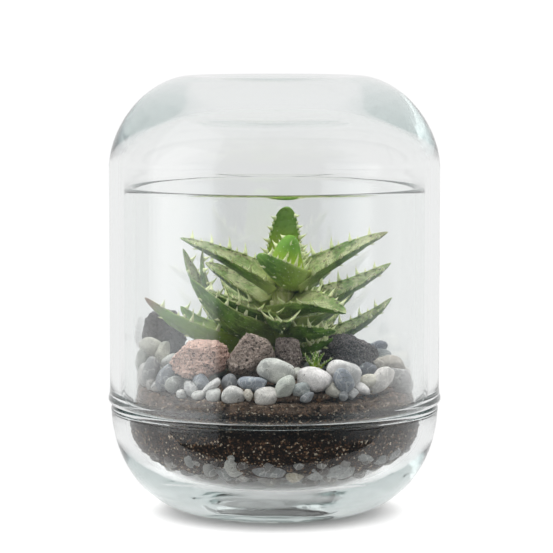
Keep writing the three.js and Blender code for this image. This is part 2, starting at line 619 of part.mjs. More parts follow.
// The gravel is banked up against the glass at the back
const bank = BANK.angles.map((degrees, index) => {
  const angle = THREE.MathUtils.degToRad(degrees);
  return {
    at: [BANK.radius * Math.cos(angle), BANK.radius * Math.sin(angle), BANK.height + (index % 3)],
    half: BANK.half,
    turn: [20 * (index % 2), 15, degrees],
  };
});
const dressingPebbles = [...frontPebbles, ...backRows, ...bank];
const dressing = unionOf([gravelBed, ...dressingPebbles.map((pebble, index) => roughPebble(pebble, index))])
  .subtract(sunkStones);
addPart('pebble_dressing', dressing, PEBBLE_GREY, 0.2);
const dressingGrown = dressingPebbles.map((pebble, index) => roughPebble(pebble, index, CLEARANCE));

// Leaves: a thick blade with a hollow upper face and a keel below, fused with teeth on both edges
// and along the keel

function leafFrame(leaf) {
  const [start, middle, end] = leaf.path.map((point) => new THREE.Vector3(...point));
  const control = middle.clone().multiplyScalar(2).sub(start.clone().add(end).multiplyScalar(0.5));
  const curve = new THREE.QuadraticBezierCurve3(start, control, end);
  const facing = new THREE.Vector3(...leaf.face).normalize();
  return (share) => {
    const point = curve.getPoint(share);
    const along = curve.getTangent(share).normalize();
    const side = new THREE.Vector3().crossVectors(along, facing).normalize();
    const up = new THREE.Vector3().crossVectors(side, along).normalize();
    const full = (1 - share) ** leaf.taper;
    const depth = leaf.width * LEAF.depthShare * full;
    point.addScaledVector(up, LEAF.rise * depth);
    return { point, along, side, up, halfWidth: (leaf.width / 2) * full, depth };
  };
}

function bladeSolid(leaf, grow) {
  const frameAt = leafFrame(leaf);
  const positions = [];
  LEAF.rows.forEach((share, row) => {
    const { point, along, side, up, halfWidth, depth } = frameAt(share);
    const wide = halfWidth + 1.5 * grow;
    const outline = [
      [-wide, 0.4 * grow],
      [0, grow - LEAF.hollow * halfWidth],
      [wide, 0.4 * grow],
      [LEAF.flankWidth * wide, -LEAF.flankDepth * depth - grow],
      [0, -depth - 1.3 * grow],
      [-LEAF.flankWidth * wide, -LEAF.flankDepth * depth - grow],
    ];
    const back = row === 0 ? -grow : 0;
    outline.forEach(([across, high]) => {
      const corner = point.clone()
        .addScaledVector(side, across)
        .addScaledVector(up, high)
        .addScaledVector(along, back);
      positions.push(corner.x, corner.y, corner.z);
    });
  });
  const tip = frameAt(1);
  const tipPoint = tip.point.clone().addScaledVector(tip.along, 2 * grow);
  const start = frameAt(0);
  const heel = start.point.clone()
    .addScaledVector(start.along, -grow)
    .addScaledVector(start.up, -start.depth / 2);
  positions.push(tipPoint.x, tipPoint.y, tipPoint.z, heel.x, heel.y, heel.z);
  const corners = 6;
  const rows = LEAF.rows.length;
  const tipIndex = rows * corners;
  const indices = [];
  for (let corner = 0; corner < corners; corner += 1) {
    const next = (corner + 1) % corners;
    for (let row = 0; row < rows - 1; row += 1) {
      const [here, beside] = [row * corners + corner, row * corners + next];
      indices.push(here, beside, here + corners, beside, beside + corners, here + corners);
    }
    const last = (rows - 1) * corners;
    indices.push(last + corner, last + next, tipIndex);
    indices.push(next, corner, tipIndex + 1);
  }
  const geometry = new THREE.BufferGeometry();
  geometry.setAttribute('position', new THREE.Float32BufferAttribute(positions, 3));
  geometry.setIndex(indices);
  return solidFrom(geometry);
}

function leafSolid(leaf, grow = 0) {
  const frameAt = leafFrame(leaf);
  const random = randomSource(Math.round(leaf.width * 100) + leaf.teeth);
  const pieces = [bladeSolid(leaf, grow)];
  for (let index = 0; index < leaf.teeth; index += 1) {
    const share = TOOTH.first + ((TOOTH.last - TOOTH.first) * index) / (leaf.teeth - 1);
    const length = (TOOTH.length - TOOTH.shortening * share) * random(0.85, 1.1);
    for (const hand of [-1, 1]) {
      const { point, along, side, up, halfWidth } = frameAt(share + TOOTH.stagger * hand);
      const root = point.clone()
        .addScaledVector(side, hand * (halfWidth - TOOTH.inset))
        .addScaledVector(up, -CLEARANCE);
      const direction = new THREE.Vector3()
        .addScaledVector(side, hand * TOOTH.points.side)
        .addScaledVector(up, TOOTH.points.up)
        .addScaledVector(along, TOOTH.points.along)
        .normalize();
      pieces.push(toothSolid(root, direction, along, length, TOOTH.width, grow));
    }
    if (index % KEEL_TOOTH.every === 1) {
      const { point, along, up, depth } = frameAt(share + KEEL_TOOTH.ahead);
      const root = point.clone().addScaledVector(up, KEEL_TOOTH.sunk - depth);
      const direction = new THREE.Vector3()
        .addScaledVector(up, KEEL_TOOTH.points.up)
        .addScaledVector(along, KEEL_TOOTH.points.along)
        .normalize();
      pieces.push(toothSolid(root, direction, along, KEEL_TOOTH.length, TOOTH.width, grow));
    }
  }
  return unionOf(pieces);
}

const leavesInPlace = [stemHole, offsetSolid(CLEARANCE), ...stonesInPlace, ...dressingGrown];
LEAVES.forEach((leaf, index) => {
  const clear = leafSolid(leaf).subtract(unionOf(leavesInPlace));
  const finish = index < 2 ? HEART_GREEN : LEAF_GREEN;
  addPart(`aloe_leaf_${leaf.name}`, clear, finish);
  leavesInPlace.push(leafSolid(leaf, CLEARANCE));
});

export default terrarium;
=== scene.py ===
import math
import random

import bmesh
import bpy
from mathutils import Euler, Matrix, Vector, noise


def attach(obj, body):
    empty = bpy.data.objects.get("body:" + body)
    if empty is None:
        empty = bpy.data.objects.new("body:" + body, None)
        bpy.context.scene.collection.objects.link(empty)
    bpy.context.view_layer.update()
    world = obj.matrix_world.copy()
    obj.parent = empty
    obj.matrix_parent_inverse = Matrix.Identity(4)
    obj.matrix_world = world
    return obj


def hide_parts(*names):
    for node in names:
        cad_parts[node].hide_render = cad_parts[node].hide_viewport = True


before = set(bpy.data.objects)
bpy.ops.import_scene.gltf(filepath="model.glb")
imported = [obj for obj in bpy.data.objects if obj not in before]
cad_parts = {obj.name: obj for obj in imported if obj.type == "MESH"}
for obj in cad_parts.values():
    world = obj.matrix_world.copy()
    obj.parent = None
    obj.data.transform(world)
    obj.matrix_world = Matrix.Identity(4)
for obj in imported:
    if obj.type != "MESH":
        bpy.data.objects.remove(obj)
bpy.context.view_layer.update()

# Glass plant terrarium. Metres, +Z up, the plant's front faces -Y, and the origin is the middle of
# the bowl's foot on the surface that it stands on.


# Camera: level with the cover's top, a little over a metre off, looking slightly down, with a long
# lens, so that the neck's rim and the cover's foot show as flat ellipses.

IMAGE_SIDE = 553
FOCAL_PIXELS = 2750
HORIZON_ROW, AXIS_COLUMN = 10, 274.5


def in_scene(name, data):
    """A new object that stands in the scene, with its camera, lamp or mesh."""
    thing = bpy.data.objects.new(name, data)
    bpy.context.collection.objects.link(thing)
    return thing


camera = in_scene("camera", bpy.data.cameras.new("camera"))
camera.data.sensor_width = 36
camera.data.lens = FOCAL_PIXELS / IMAGE_SIDE * camera.data.sensor_width
camera.data.clip_start = 0.05
camera.location = (0, -1.163, 0.2125)
camera.rotation_euler = (
    math.pi / 2 - math.atan((IMAGE_SIDE / 2 - HORIZON_ROW) / FOCAL_PIXELS),
    0,
    -math.atan((IMAGE_SIDE / 2 - AXIS_COLUMN) / FOCAL_PIXELS),
)
bpy.context.scene.camera = camera


# Studio: a white seamless room, a tall soft box at the left that shows in the glass as a pale field
# with an upright edge, a soft light overhead, and a plain pale table with its edge in front.

# On plan, the soft box runs from its near edge to its far end
SOFT_BOX = dict(edge=(-0.631, -0.729), end=(-0.868, 0.044), height=1.2, middle=0.45, watts=2.2)
OVERHEAD = dict(width=0.9, depth=0.7, place=(-0.1, 0.1, 1.1), watts=10)


def soft_light(name, width, height, watts):
    """A soft rectangular lamp."""
    light = bpy.data.lights.new(name, "AREA")
    light.shape = "RECTANGLE"
    light.size = width
    light.size_y = height
    light.energy = watts
    return in_scene(name, light)


box_near, box_far = Vector((*SOFT_BOX["edge"], 0)), Vector((*SOFT_BOX["end"], 0))
box_run = box_far - box_near
soft_box = soft_light("soft_box_left", box_run.length, SOFT_BOX["height"], SOFT_BOX["watts"])
soft_box.rotation_euler = Vector((box_run.y, -box_run.x, 0)).to_track_quat("-Z", "Y").to_euler()
soft_box.location = (box_near + box_far) / 2 + Vector((0, 0, SOFT_BOX["middle"]))

overhead = soft_light("overhead", OVERHEAD["width"], OVERHEAD["depth"], OVERHEAD["watts"])
overhead.location = OVERHEAD["place"]
overhead.visible_glossy = False
overhead.visible_transmission = False


def colour(code):
    """A six-digit colour code as linear red, green, blue and alpha."""
    parts = [int(code[place:place + 2], 16) / 255 for place in (1, 3, 5)]
    linear = [part / 12.92 if part <= 0.04045 else ((part + 0.055) / 1.055) ** 2.4 for part in parts]
    return linear + [1]


def add_node(tree, kind, settings=None, inputs=None):
    """A node with its settings, and its inputs set to values or wired to other nodes' sockets."""
    node = tree.nodes.new(kind)
    for key, value in (settings or {}).items():
        setattr(node, key, value)
    for key, value in (inputs or {}).items():
        if isinstance(value, bpy.types.NodeSocket):
            tree.links.new(value, node.inputs[key])
        else:
            node.inputs[key].default_value = value
    return node


def blend(tree, share, first, second):
    """Two colours blended; the share may be a number or a socket."""
    inputs = {0: share, 6: first, 7: second}
    return add_node(tree, "ShaderNodeMix", dict(data_type="RGBA"), inputs).outputs[2]


def calculate(tree, operation, *values):
    """One step of arithmetic on numbers or sockets."""
    inputs = dict(enumerate(values))
    return add_node(tree, "ShaderNodeMath", dict(operation=operation), inputs).outputs[0]


def steps_between(tree, value, low, high):
    """Rises smoothly from 0 to 1 as a value goes from low to high."""
    inputs = {"Value": value, "From Min": low, "From Max": high}
    ramp = add_node(tree, "ShaderNodeMapRange", dict(interpolation_type="SMOOTHSTEP"), inputs)
    return ramp.outputs[0]


def mixed(tree, share, first, second):
    """Two numbers mixed; each may be a number or a socket."""
    inputs = {0: share, 2: first, 3: second}
    return add_node(tree, "ShaderNodeMix", dict(data_type="FLOAT"), inputs).outputs[0]


def opposite(tree, share):
    """What a share leaves of the whole."""
    return calculate(tree, "SUBTRACT", 1.0, share)


# How white the room is to the camera, to what is seen straight through the glass, and mirrored in it
ROOM = dict(seen=1.1, through=0.88, mirrored_dark=0.1, mirrored_white=0.78)
ROOM_SHADE = (0.62, 0.8, 0.9, 1)
WHITE = (1, 1, 1, 1)

world = bpy.data.worlds.new("white_room")
world.use_nodes = True
bpy.context.scene.world = world
room = world.node_tree
room_place = add_node(room, "ShaderNodeTexCoord").outputs["Generated"]
way = add_node(room, "ShaderNodeSeparateXYZ", None, {0: room_place})
room_ray = add_node(room, "ShaderNodeLightPath").outputs
# Mirrored in the glass, the room shows white behind and beside the object, and dark in front and
# below the table's edge; the light that it sheds comes mostly from above and behind
behind = steps_between(room, way.outputs["Y"], -0.82, -0.3)
above = steps_between(room, way.outputs["Z"], -0.1, 0.8)
shed = calculate(room, "MULTIPLY_ADD", above, 0.95, calculate(room, "MULTIPLY_ADD", behind, 0.4, 0.28))
mirrored = calculate(room, "MINIMUM", room_ray["Glossy Depth"], 1.0)
over_table = calculate(room, "MULTIPLY", behind, steps_between(room, way.outputs["Z"], -0.25, -0.05))
in_glass = calculate(room, "MULTIPLY_ADD", over_table, ROOM["mirrored_white"], ROOM["mirrored_dark"])
level = mixed(room, mirrored, ROOM["through"], in_glass)
level = mixed(room, room_ray["Is Diffuse Ray"], level, shed)
level = mixed(room, room_ray["Is Camera Ray"], level, ROOM["seen"])
plainly = calculate(room, "MAXIMUM", room_ray["Is Diffuse Ray"], room_ray["Is Camera Ray"])
plainly = calculate(room, "MAXIMUM", plainly, opposite(room, mirrored))
tint = blend(room, calculate(room, "MAXIMUM", over_table, plainly), ROOM_SHADE, WHITE)
room.links.new(level, room.nodes["Background"].inputs["Strength"])
room.links.new(tint, room.nodes["Background"].inputs["Color"])

# The table ends close in front of the object, so that the glass mirrors little of it there. It lies a
# hair under the foot, and past its edge the room shows as white as it does
TABLE = dict(front=-0.082, reach=9, drop=0.0001, white=0.88, lifted=0.14)
table_corners = [(-TABLE["reach"], TABLE["front"]), (TABLE["reach"], TABLE["front"]),
                 (TABLE["reach"], TABLE["reach"]), (-TABLE["reach"], TABLE["reach"])]
table_mesh = bpy.data.meshes.new("floor")
table_mesh.from_pydata([(x, y, -TABLE["drop"]) for x, y in table_corners], [], [(0, 1, 2, 3)])
table = in_scene("floor", table_mesh)
table_paint = bpy.data.materials.new("pale_floor")
table_paint.use_nodes = True
table_tree = table_paint.node_tree
table_shader = table_tree.nodes["Principled BSDF"]
table_shader.inputs["Base Color"].default_value = (0.88, 0.88, 0.88, 1)
table_shader.inputs["Roughness"].default_value = 0.6
table_shader.inputs["Emission Color"].default_value = WHITE
# Close to the object the table takes its soft shadow, and away from it it is plain white
table_ray = add_node(table_tree, "ShaderNodeLightPath").outputs
table_place = add_node(table_tree, "ShaderNodeTexCoord").outputs["Object"]
distance = add_node(table_tree, "ShaderNodeVectorMath", dict(operation="LENGTH"), {0: table_place})
outwards = distance.outputs["Value"]
away = steps_between(table_tree, outwards, 0.046, 0.078)
glow = calculate(table_tree, "MULTIPLY", steps_between(table_tree, outwards, 0.036, 0.062), 0.4)
table_tree.links.new(glow, table_shader.inputs["Emission Strength"])
seen_white = calculate(
    table_tree, "MULTIPLY_ADD", table_ray["Is Camera Ray"], TABLE["lifted"], TABLE["white"])
plain_white = add_node(table_tree, "ShaderNodeEmission", None, {"Strength": seen_white})
table_look = add_node(table_tree, "ShaderNodeMixShader", None, {
    "Fac": away, 1: table_shader.outputs["BSDF"], 2: plain_white.outputs["Emission"]})
table_tree.links.new(table_look.outputs[0], table_tree.nodes["Material Output"].inputs["Surface"])
table_mesh.materials.append(table_paint)

# Light needs many turns inside the thick glass before it comes out
scene = bpy.context.scene
scene.view_settings.view_transform = "Standard"
scene.cycles.max_bounces = 40
scene.cycles.transmission_bounces = 28
scene.cycles.glossy_bounces = 36
scene.cycles.diffuse_bounces = 4
scene.cycles.transparent_max_bounces = 32


# Glass bowl: pressed clear glass with a thick flat-footed bottom, a round side and a straight neck
# with a fire-polished lip. It is turned as one closed wall round the upright axis.

# Sizes are in millimetres, and a power is how full a curve is, 2 for an ellipse
MM = 0.001
GLASS_SIDES = 224
BOWL = dict(foot=30, radius=69.5, widest=44.5, side=2.2, foot_power=1.9, shoulder=46, edge=2.0,
            underside=0.9)
NECK = dict(radius=63.8, wall=4.2, rim=138.6, fillet=2.5, lip=1.9)
WELL = dict(floor=10.7, floor_radius=32, floor_power=1.9, radius=62.4, widest=39, side=2.0, neck=52,
            bulge=0.4)
# Ripples in rings on the well's floor: they fade out up the side, and lie calm in the middle
RIPPLE = dict(height=0.42, scale=95, fades=22, around=12, across=1.3, calm=8)


def quarter(end_radius, side_radius, end_height, side_height, end_power, side_power, steps):
    """Points (radius, height) of a quarter of a superellipse, from its side to its end."""
    points = []
    for step in range(steps + 1):
        angle = math.pi / 2 * step / steps
        across = max(math.cos(angle), 0) ** (2 / side_power)
        up = math.sin(angle) ** (2 / end_power)
        points.append((end_radius + (side_radius - end_radius) * across,
                       side_height + (end_height - side_height) * up))
    return points


def arc(radius_at, height_at, radius, start, end, steps):
    """Points of an arc, its angles in degrees."""
    turns = [math.radians(start + (end - start) * step / steps) for step in range(steps + 1)]
    return [(radius_at + radius * math.cos(turn), height_at + radius * math.sin(turn)) for turn in turns]


def mesh_of(name, build):
    """A mesh from what was built."""
    mesh = bpy.data.meshes.new(name)
    build.to_mesh(mesh)
    build.free()
    return mesh


def turned(name, profile, sides=GLASS_SIDES):
    """A closed mesh turned from a profile in millimetres that starts and ends on the axis."""
    build = bmesh.new()
    rings = []
    for radius, height in profile:
        if radius < 1e-6:
            rings.append([build.verts.new((0, 0, height * MM))])
            continue
        rings.append([
            build.verts.new((radius * MM * math.cos(2 * math.pi * side / sides),
                             radius * MM * math.sin(2 * math.pi * side / sides), height * MM))
            for side in range(sides)
        ])
    for lower, upper in zip(rings, rings[1:]):
        for side in range(sides):
            after = (side + 1) % sides
            corners = [lower[side % len(lower)], lower[after % len(lower)],
                       upper[after % len(upper)], upper[side % len(upper)]]
            corners = list(dict.fromkeys(corners))
            if len(corners) > 2:
                build.faces.new(corners)
    bmesh.ops.recalc_face_normals(build, faces=build.faces)
    mesh = mesh_of(name, build)
    mesh.shade_smooth()
    return in_scene(name, mesh)


def well_profile(top, inset=0):
    """The inside of the bowl and its neck, from the middle of its floor up to a height."""
    neck_radius = NECK["radius"] - NECK["wall"]
    cup = quarter(WELL["floor_radius"], WELL["radius"], WELL["floor"], WELL["widest"],
                  WELL["floor_power"], WELL["side"], 40)[::-1]
    bend = []
    rise = WELL["neck"] - WELL["widest"]
    for step in range(1, 16):
        share = step / 16
        smooth = share * share * (3 - 2 * share)
        outwards = WELL["radius"] + (neck_radius - WELL["radius"]) * smooth
        outwards += WELL["bulge"] * math.sin(math.pi * share)
        bend.append((outwards, WELL["widest"] + rise * share))
    wall = [(0, WELL["floor"])] + cup + bend + [(neck_radius, WELL["neck"]), (neck_radius, top)]
    return [(max(radius - inset, 0), min(height + inset, top)) for radius, height in wall]


def radius_on(outline, height):
    """How far out an outline, given from low to high, is at a height."""
    for (near, low), (far, high) in zip(outline, outline[1:]):
        if low <= height <= high and high > low:
            return near + (far - near) * (height - low) / (high - low)
    return outline[-1][0]


def finer(outline, step):
    """The same outline with points added, none further apart than a step."""
    points = [outline[0]]
    for (near, low), (far, high) in zip(outline, outline[1:]):
        parts = max(1, math.ceil(math.hypot(far - near, high - low) / step))
        points += [(near + (far - near) * part / parts, low + (high - low) * part / parts)
                   for part in range(1, parts + 1)]
    return points


def guarded(outline, gap=1.5):
    """The same outline with a point near both ends of each long straight run, so that the smooth
    shading of a round part doesn't reach into the straight wall beside it."""
    points = [outline[0]]
    for (near, low), (far, high) in zip(outline, outline[1:]):
        length = math.hypot(far - near, high - low)
        if length > gap * 4:
            points += [(near + (far - near) * part, low + (high - low) * part)
                       for part in (gap / length, 1 - gap / length)]
        points.append((far, high))
    return points


bowl_side = quarter(BOWL["foot"], BOWL["radius"], 0, BOWL["widest"], BOWL["foot_power"], BOWL["side"], 60)
foot_hollow = [(0, BOWL["underside"]), (BOWL["foot"] - 6, BOWL["underside"] * 0.75),
               (BOWL["foot"] - 1.5, 0.12)]
lip = NECK["lip"]
bowl_profile = (
    finer(foot_hollow, 2) + bowl_side[::-1]
    + arc(BOWL["radius"] - BOWL["edge"], BOWL["shoulder"] - BOWL["edge"], BOWL["edge"], 10, 90, 8)
    + arc(NECK["radius"] + NECK["fillet"], BOWL["shoulder"] + NECK["fillet"], NECK["fillet"], 270, 180, 10)
    + arc(NECK["radius"] - lip, NECK["rim"] - lip, lip, 0, 90, 12)
    + arc(NECK["radius"] - NECK["wall"] + lip, NECK["rim"] - lip, lip, 90, 180, 12)
    + well_profile(NECK["rim"] - lip)[:-1][::-1][:-1]
    + finer([(WELL["floor_radius"], WELL["floor"]), (0, WELL["floor"])], 1.5)[1:]
)


def new_finish(name):
    """A new material with its tree, its shader and the piece's own coordinates."""
    finish = bpy.data.materials.new(name)
    finish.use_nodes = True
    tree = finish.node_tree
    return finish, tree, tree.nodes["Principled BSDF"], add_node(tree, "ShaderNodeTexCoord").outputs["Object"]


def uneven_skin(tree, shader, height, strength, distance):
    """Makes a finish uneven, to a height in grey."""
    bump = add_node(tree, "ShaderNodeBump", None, {
        "Strength": strength, "Distance": distance, "Height": height})
    tree.links.new(bump.outputs["Normal"], shader.inputs["Normal"])


def clear_glass(name):
    """Clear glass that lets lamps reach what stands inside it, with a faint waviness from pressing."""
    finish, tree, shader, place = new_finish(name)
    shader.inputs["Base Color"].default_value = (0.99, 0.993, 0.991, 1)
    shader.inputs["Roughness"].default_value = 0.0
    shader.inputs["IOR"].default_value = 1.5
    shader.inputs["Transmission Weight"].default_value = 1.0
    wave = add_node(tree, "ShaderNodeTexNoise", None, {"Vector": place, "Scale": 38.0, "Detail": 1.0})
    uneven_skin(tree, shader, wave.outputs["Fac"], 0.03, 0.001)
    ray = add_node(tree, "ShaderNodeLightPath").outputs
    open_way = add_node(tree, "ShaderNodeBsdfTransparent", None, {"Color": (0.965, 0.966, 0.963, 1)})
    look = add_node(tree, "ShaderNodeMixShader", None, {
        "Fac": calculate(tree, "MAXIMUM", ray["Is Shadow Ray"], ray["Is Diffuse Ray"]),
        1: shader.outputs["BSDF"], 2: open_way.outputs["BSDF"]})
    depth = add_node(tree, "ShaderNodeVolumeAbsorption", None, {
        "Color": (0.36, 0.52, 0.5, 1), "Density": 4.8})
    output = tree.nodes["Material Output"]
    tree.links.new(look.outputs["Shader"], output.inputs["Surface"])
    tree.links.new(depth.outputs["Volume"], output.inputs["Volume"])
    return finish


def placed(piece, slot, *nodes):
    """Makes a finished piece move with the one body and hides the CAD parts that it replaces; the slot is not
    used.
    """
    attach(piece, "root")
    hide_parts(*nodes)


bowl = turned("bowl", guarded(bowl_profile))
well_inside = well_profile(60)
for vertex in bowl.data.vertices:
    height, out = vertex.co.z / MM, math.hypot(vertex.co.x, vertex.co.y) / MM
    if WELL["floor"] - 1 < height < RIPPLE["fades"] and out < radius_on(well_inside, height + 0.01) + 1:
        share = 1 - (height - WELL["floor"]) / (RIPPLE["fades"] - WELL["floor"])
        around = vertex.co.xy.normalized() * RIPPLE["around"] * MM
        place = Vector((around.x, around.y, RIPPLE["across"] * out * MM)) * RIPPLE["scale"]
        wave = noise.noise(place) + 0.4 * noise.noise(place * 2.3)
        vertex.co.z += RIPPLE["height"] * MM * share * min(out / RIPPLE["calm"], 1) * wave
bowl.data.materials.append(clear_glass("bowl_glass"))
placed(bowl, "clear_glass", "glass_bowl")


# Glass cover: the same pressed glass, open below, with a straight wall, thick shoulders and a thick
# top that dips a little in the middle. It slips over the neck and stands on the bowl's shoulder.

COVER = dict(radius=70, wall=4.3, bend=146.5, height=185, crest=36, power=1.8, dish=2.8, ceiling=176.5,
             ceiling_radius=30, bulge=1.9, ceiling_bend=147, bottom=46.3, bead=2.3, proud=0.7, rim=1.2)


def dished(edge_height, depth, edge_radius, steps):
    """Points of a shallow dip, from the middle to its edge."""
    return [(edge_radius * step / steps,
             edge_height - depth * (1 + math.cos(math.pi * step / steps)) / 2) for step in range(steps)]


cover_inside = COVER["radius"] - COVER["wall"]
cover_profile = (
    dished(COVER["height"], COVER["dish"], COVER["crest"], 24)
    + quarter(COVER["crest"], COVER["radius"], COVER["height"], COVER["bend"],
              COVER["power"], COVER["power"], 60)[::-1]
    # The wall swells a little into the bead at its foot
    + [(COVER["radius"], COVER["bottom"] + 7.5), (COVER["radius"] + 0.15, COVER["bottom"] + 5.6)]
    + arc(COVER["radius"] + COVER["proud"] - COVER["bead"], COVER["bottom"] + COVER["bead"], COVER["bead"],
          35, -90, 14)
    + arc(cover_inside + COVER["rim"], COVER["bottom"] + COVER["rim"], COVER["rim"], 270, 180, 8)
    + quarter(COVER["ceiling_radius"], cover_inside, COVER["ceiling"], COVER["ceiling_bend"],
              COVER["power"], COVER["power"], 60)
    + dished(COVER["ceiling"], COVER["bulge"], COVER["ceiling_radius"], 20)[::-1]
)
cover = turned("cover", guarded(cover_profile))
cover.data.materials.append(clear_glass("cover_glass"))
placed(cover, "clear_glass", "glass_cover")


# Drainage pebbles: rough angular stones in a ring on the bowl's floor, larger ones seated against
# the glass at the front, and chips between them, up to the soil. Loose, poured in first.

DRAIN_TOP = 27.7
# A row of stones: how far out it lies, how many there are, and the largest half size
DRAIN_ROW = dict(radius=57.5, count=15, size=5.6)
CHIP_ROWS = [dict(radius=59, count=34, size=3.2), dict(radius=53, count=26, size=4.2),
             dict(radius=42, count=16, size=5.4), dict(radius=30, count=14, size=5),
             dict(radius=18, count=9, size=5)]
DRAIN_TONES = ["#7d7b76", "#6d6c6a", "#4b4038", "#8a8780", "#3f352d", "#5c554d"]
# Stones at the front: how far across and how high each lies, its half sizes, its lean and its tone
DRAIN_STONES = [
    (-14.8, 32.2, (5, 3.4, 6.8), 6, "#a2a29c"), (25.3, 28, (6.6, 3.8, 6.2), 20, "#929593"),
    (34.4, 31.6, (5.6, 3.8, 3.2), 10, "#808381"), (40, 29.6, (3.6, 3.6, 4.4), -20, "#797c7a"),
    (45, 31.2, (5.4, 3.8, 4.2), -15, "#717472"), (-24.2, 28, (3.2, 3.4, 4.2), 20, "#81817c"),
    (-18.4, 27, (4.6, 4, 4.6), -10, "#707371"), (-2.2, 27, (6.2, 3.4, 3.6), 12, "#838585"),
    (15.5, 26.2, (4.2, 3.4, 3.4), 25, "#8d8f8c"), (-31.6, 30.4, (3.4, 3.2, 3.6), -15, "#8a8c88"),
    (8.8, 25.4, (4.4, 3.4, 3.8), 5, "#9f9783"),
]
# Each of them is enlarged, and then stands in from the glass by shares of its half sizes
DRAIN_SEAT = dict(growth=1.24, margin=1.12, sunk=0.2)
LOOSE_CHIPS = dict(count=90, radius=57, sizes=(2.4, 4.4), reach=58)
CHIPPED = dict(flat_side_depth=0.42, edge_sharpness=16.0)


def noise_on(tree, place, scale, detail=2, roughness=0.5):
    """The strength of a soft noise at a place on the piece."""
    inputs = {"Vector": place, "Scale": scale, "Detail": detail, "Roughness": roughness}
    return add_node(tree, "ShaderNodeTexNoise", None, inputs).outputs["Fac"]


def own(tree, name, kind="Fac"):
    """A value that the piece's mesh carries under a name."""
    return add_node(tree, "ShaderNodeAttribute", dict(attribute_name=name)).outputs[kind]


def marked(tree, base, mark, value, low, high, strength=1.0):
    """A colour with a mark over it, where a value goes from low to high."""
    share = calculate(tree, "MULTIPLY", steps_between(tree, value, low, high), strength)
    return blend(tree, share, base, mark)


def on_ways(tree, operation, *values):
    """One step of arithmetic on directions or places."""
    inputs = dict(enumerate(values))
    return add_node(tree, "ShaderNodeVectorMath", dict(operation=operation), inputs).outputs[0]


def stirred(tree, place, scale, reach):
    """Places pushed about by a noise, so that what is laid by them runs unevenly."""
    push = add_node(tree, "ShaderNodeTexNoise", None, {"Vector": place, "Scale": scale, "Detail": 2.0})
    return on_ways(tree, "MULTIPLY_ADD", push.outputs["Color"], (reach, reach, reach), place)


def tumbled_stone(name, soiling):
    """Matte pebble: its own tone, cloudy mottling and pale veins, soil caught in its pores."""
    finish, tree, shader, place = new_finish(name)
    tone = own(tree, "tone", "Color")
    cloud = noise_on(tree, place, 170, 4, 0.62)
    mottled = marked(tree, blend(tree, 0.42, tone, colour("#4f5355")), tone, cloud, 0.34, 0.66)
    vein = noise_on(tree, stirred(tree, place, 130.0, 0.006), 260, 1)
    vein = calculate(tree, "ABSOLUTE", calculate(tree, "SUBTRACT", vein, 0.5))
    mottled = marked(tree, mottled, blend(tree, 0.6, tone, colour("#f6f5f0")), vein, 0.03, 0.0, 0.55)
    grain = noise_on(tree, place, 1500, 3, 0.7)
    mottled = marked(tree, mottled, blend(tree, 0.55, tone, colour("#3a3d3e")), grain, 0.5, 0.66, 0.4)
    speck = noise_on(tree, place, 950, 4, 0.75)
    patch = steps_between(tree, noise_on(tree, place, 120, 1), 0.4, 0.56)
    dirt = calculate(tree, "MULTIPLY", patch, soiling)
    soiled = marked(tree, mottled, colour("#3f3024"), speck, 0.58, 0.64, dirt)
    tree.links.new(soiled, shader.inputs["Base Color"])
    shader.inputs["Roughness"].default_value = 0.55
    shader.inputs["Subsurface Weight"].default_value = 0.06
    shader.inputs["Subsurface Radius"].default_value = (1.0, 1.0, 1.0)
    shader.inputs["Subsurface Scale"].default_value = 0.001
    uneven_skin(tree, shader, blend(tree, 0.4, cloud, grain), 0.45, 0.0004)
    return finish


def height_on(outline, radius):
    """How high an outline, given from the middle outwards, is at a radius."""
    for (near, low), (far, high) in zip(outline, outline[1:]):
        if near <= radius <= far and far > near:
            return low + (high - low) * (radius - near) / (far - near)
    return outline[-1][1]


def ring_of_stones(dice, floor, tones, radius, count, size):
    """Stones in a ring on a floor, each turned its own way; none reaches below the floor."""
    slope = (height_on(floor, radius + 1) - height_on(floor, radius - 1)) / 2
    steepness = math.hypot(slope, 1)
    stones = []
    for number in range(count):
        angle = (number + dice.uniform(-0.15, 0.15)) / count * 2 * math.pi + radius
        half = size * dice.uniform(0.82, 1)
        out = radius - slope / steepness * half
        stones.append(dict(
            at=(out * math.cos(angle), out * math.sin(angle), height_on(floor, radius) + half / steepness),
            half=(half, half * dice.uniform(0.75, 0.95), half * dice.uniform(0.66, 0.85)),
            turn=(dice.uniform(-25, 25), dice.uniform(-25, 25), dice.uniform(0, 180)),
            tone=dice.choice(tones),
        ))
    return stones


def new_tree(name, inputs):
    """A geometry nodes tree with geometry in and out and named inputs, and what it is given."""
    tree = bpy.data.node_groups.new(name, "GeometryNodeTree")
    tree.interface.new_socket("Geometry", in_out="OUTPUT", socket_type="NodeSocketGeometry")
    for label, kind in {"Geometry": "Geometry", **inputs}.items():
        tree.interface.new_socket(label, in_out="INPUT", socket_type="NodeSocket" + kind)
    return tree, add_node(tree, "NodeGroupInput").outputs


def carried(tree, name, kind="FLOAT"):
    """A value that the points carry under a name."""
    node = add_node(tree, "GeometryNodeInputNamedAttribute", dict(data_type=kind), {"Name": name})
    return node.outputs["Attribute"]


def stored(tree, geometry, name, value, kind="FLOAT", domain="POINT"):
    """The same geometry, carrying a value under a name."""
    node = add_node(tree, "GeometryNodeStoreNamedAttribute", dict(data_type=kind, domain=domain), {
        "Geometry": geometry, "Name": name, "Value": value})
    return node.outputs["Geometry"]


def laid_on(tree, points, thing, turn, size):
    """The same thing on every point, turned and stretched."""
    return add_node(tree, "GeometryNodeInstanceOnPoints", None, {
        "Points": points, "Instance": thing, "Rotation": turn, "Scale": size}).outputs["Instances"]


def realized(tree, instances):
    """Instances as plain geometry."""
    return add_node(tree, "GeometryNodeRealizeInstances", None, {"Geometry": instances}).outputs["Geometry"]


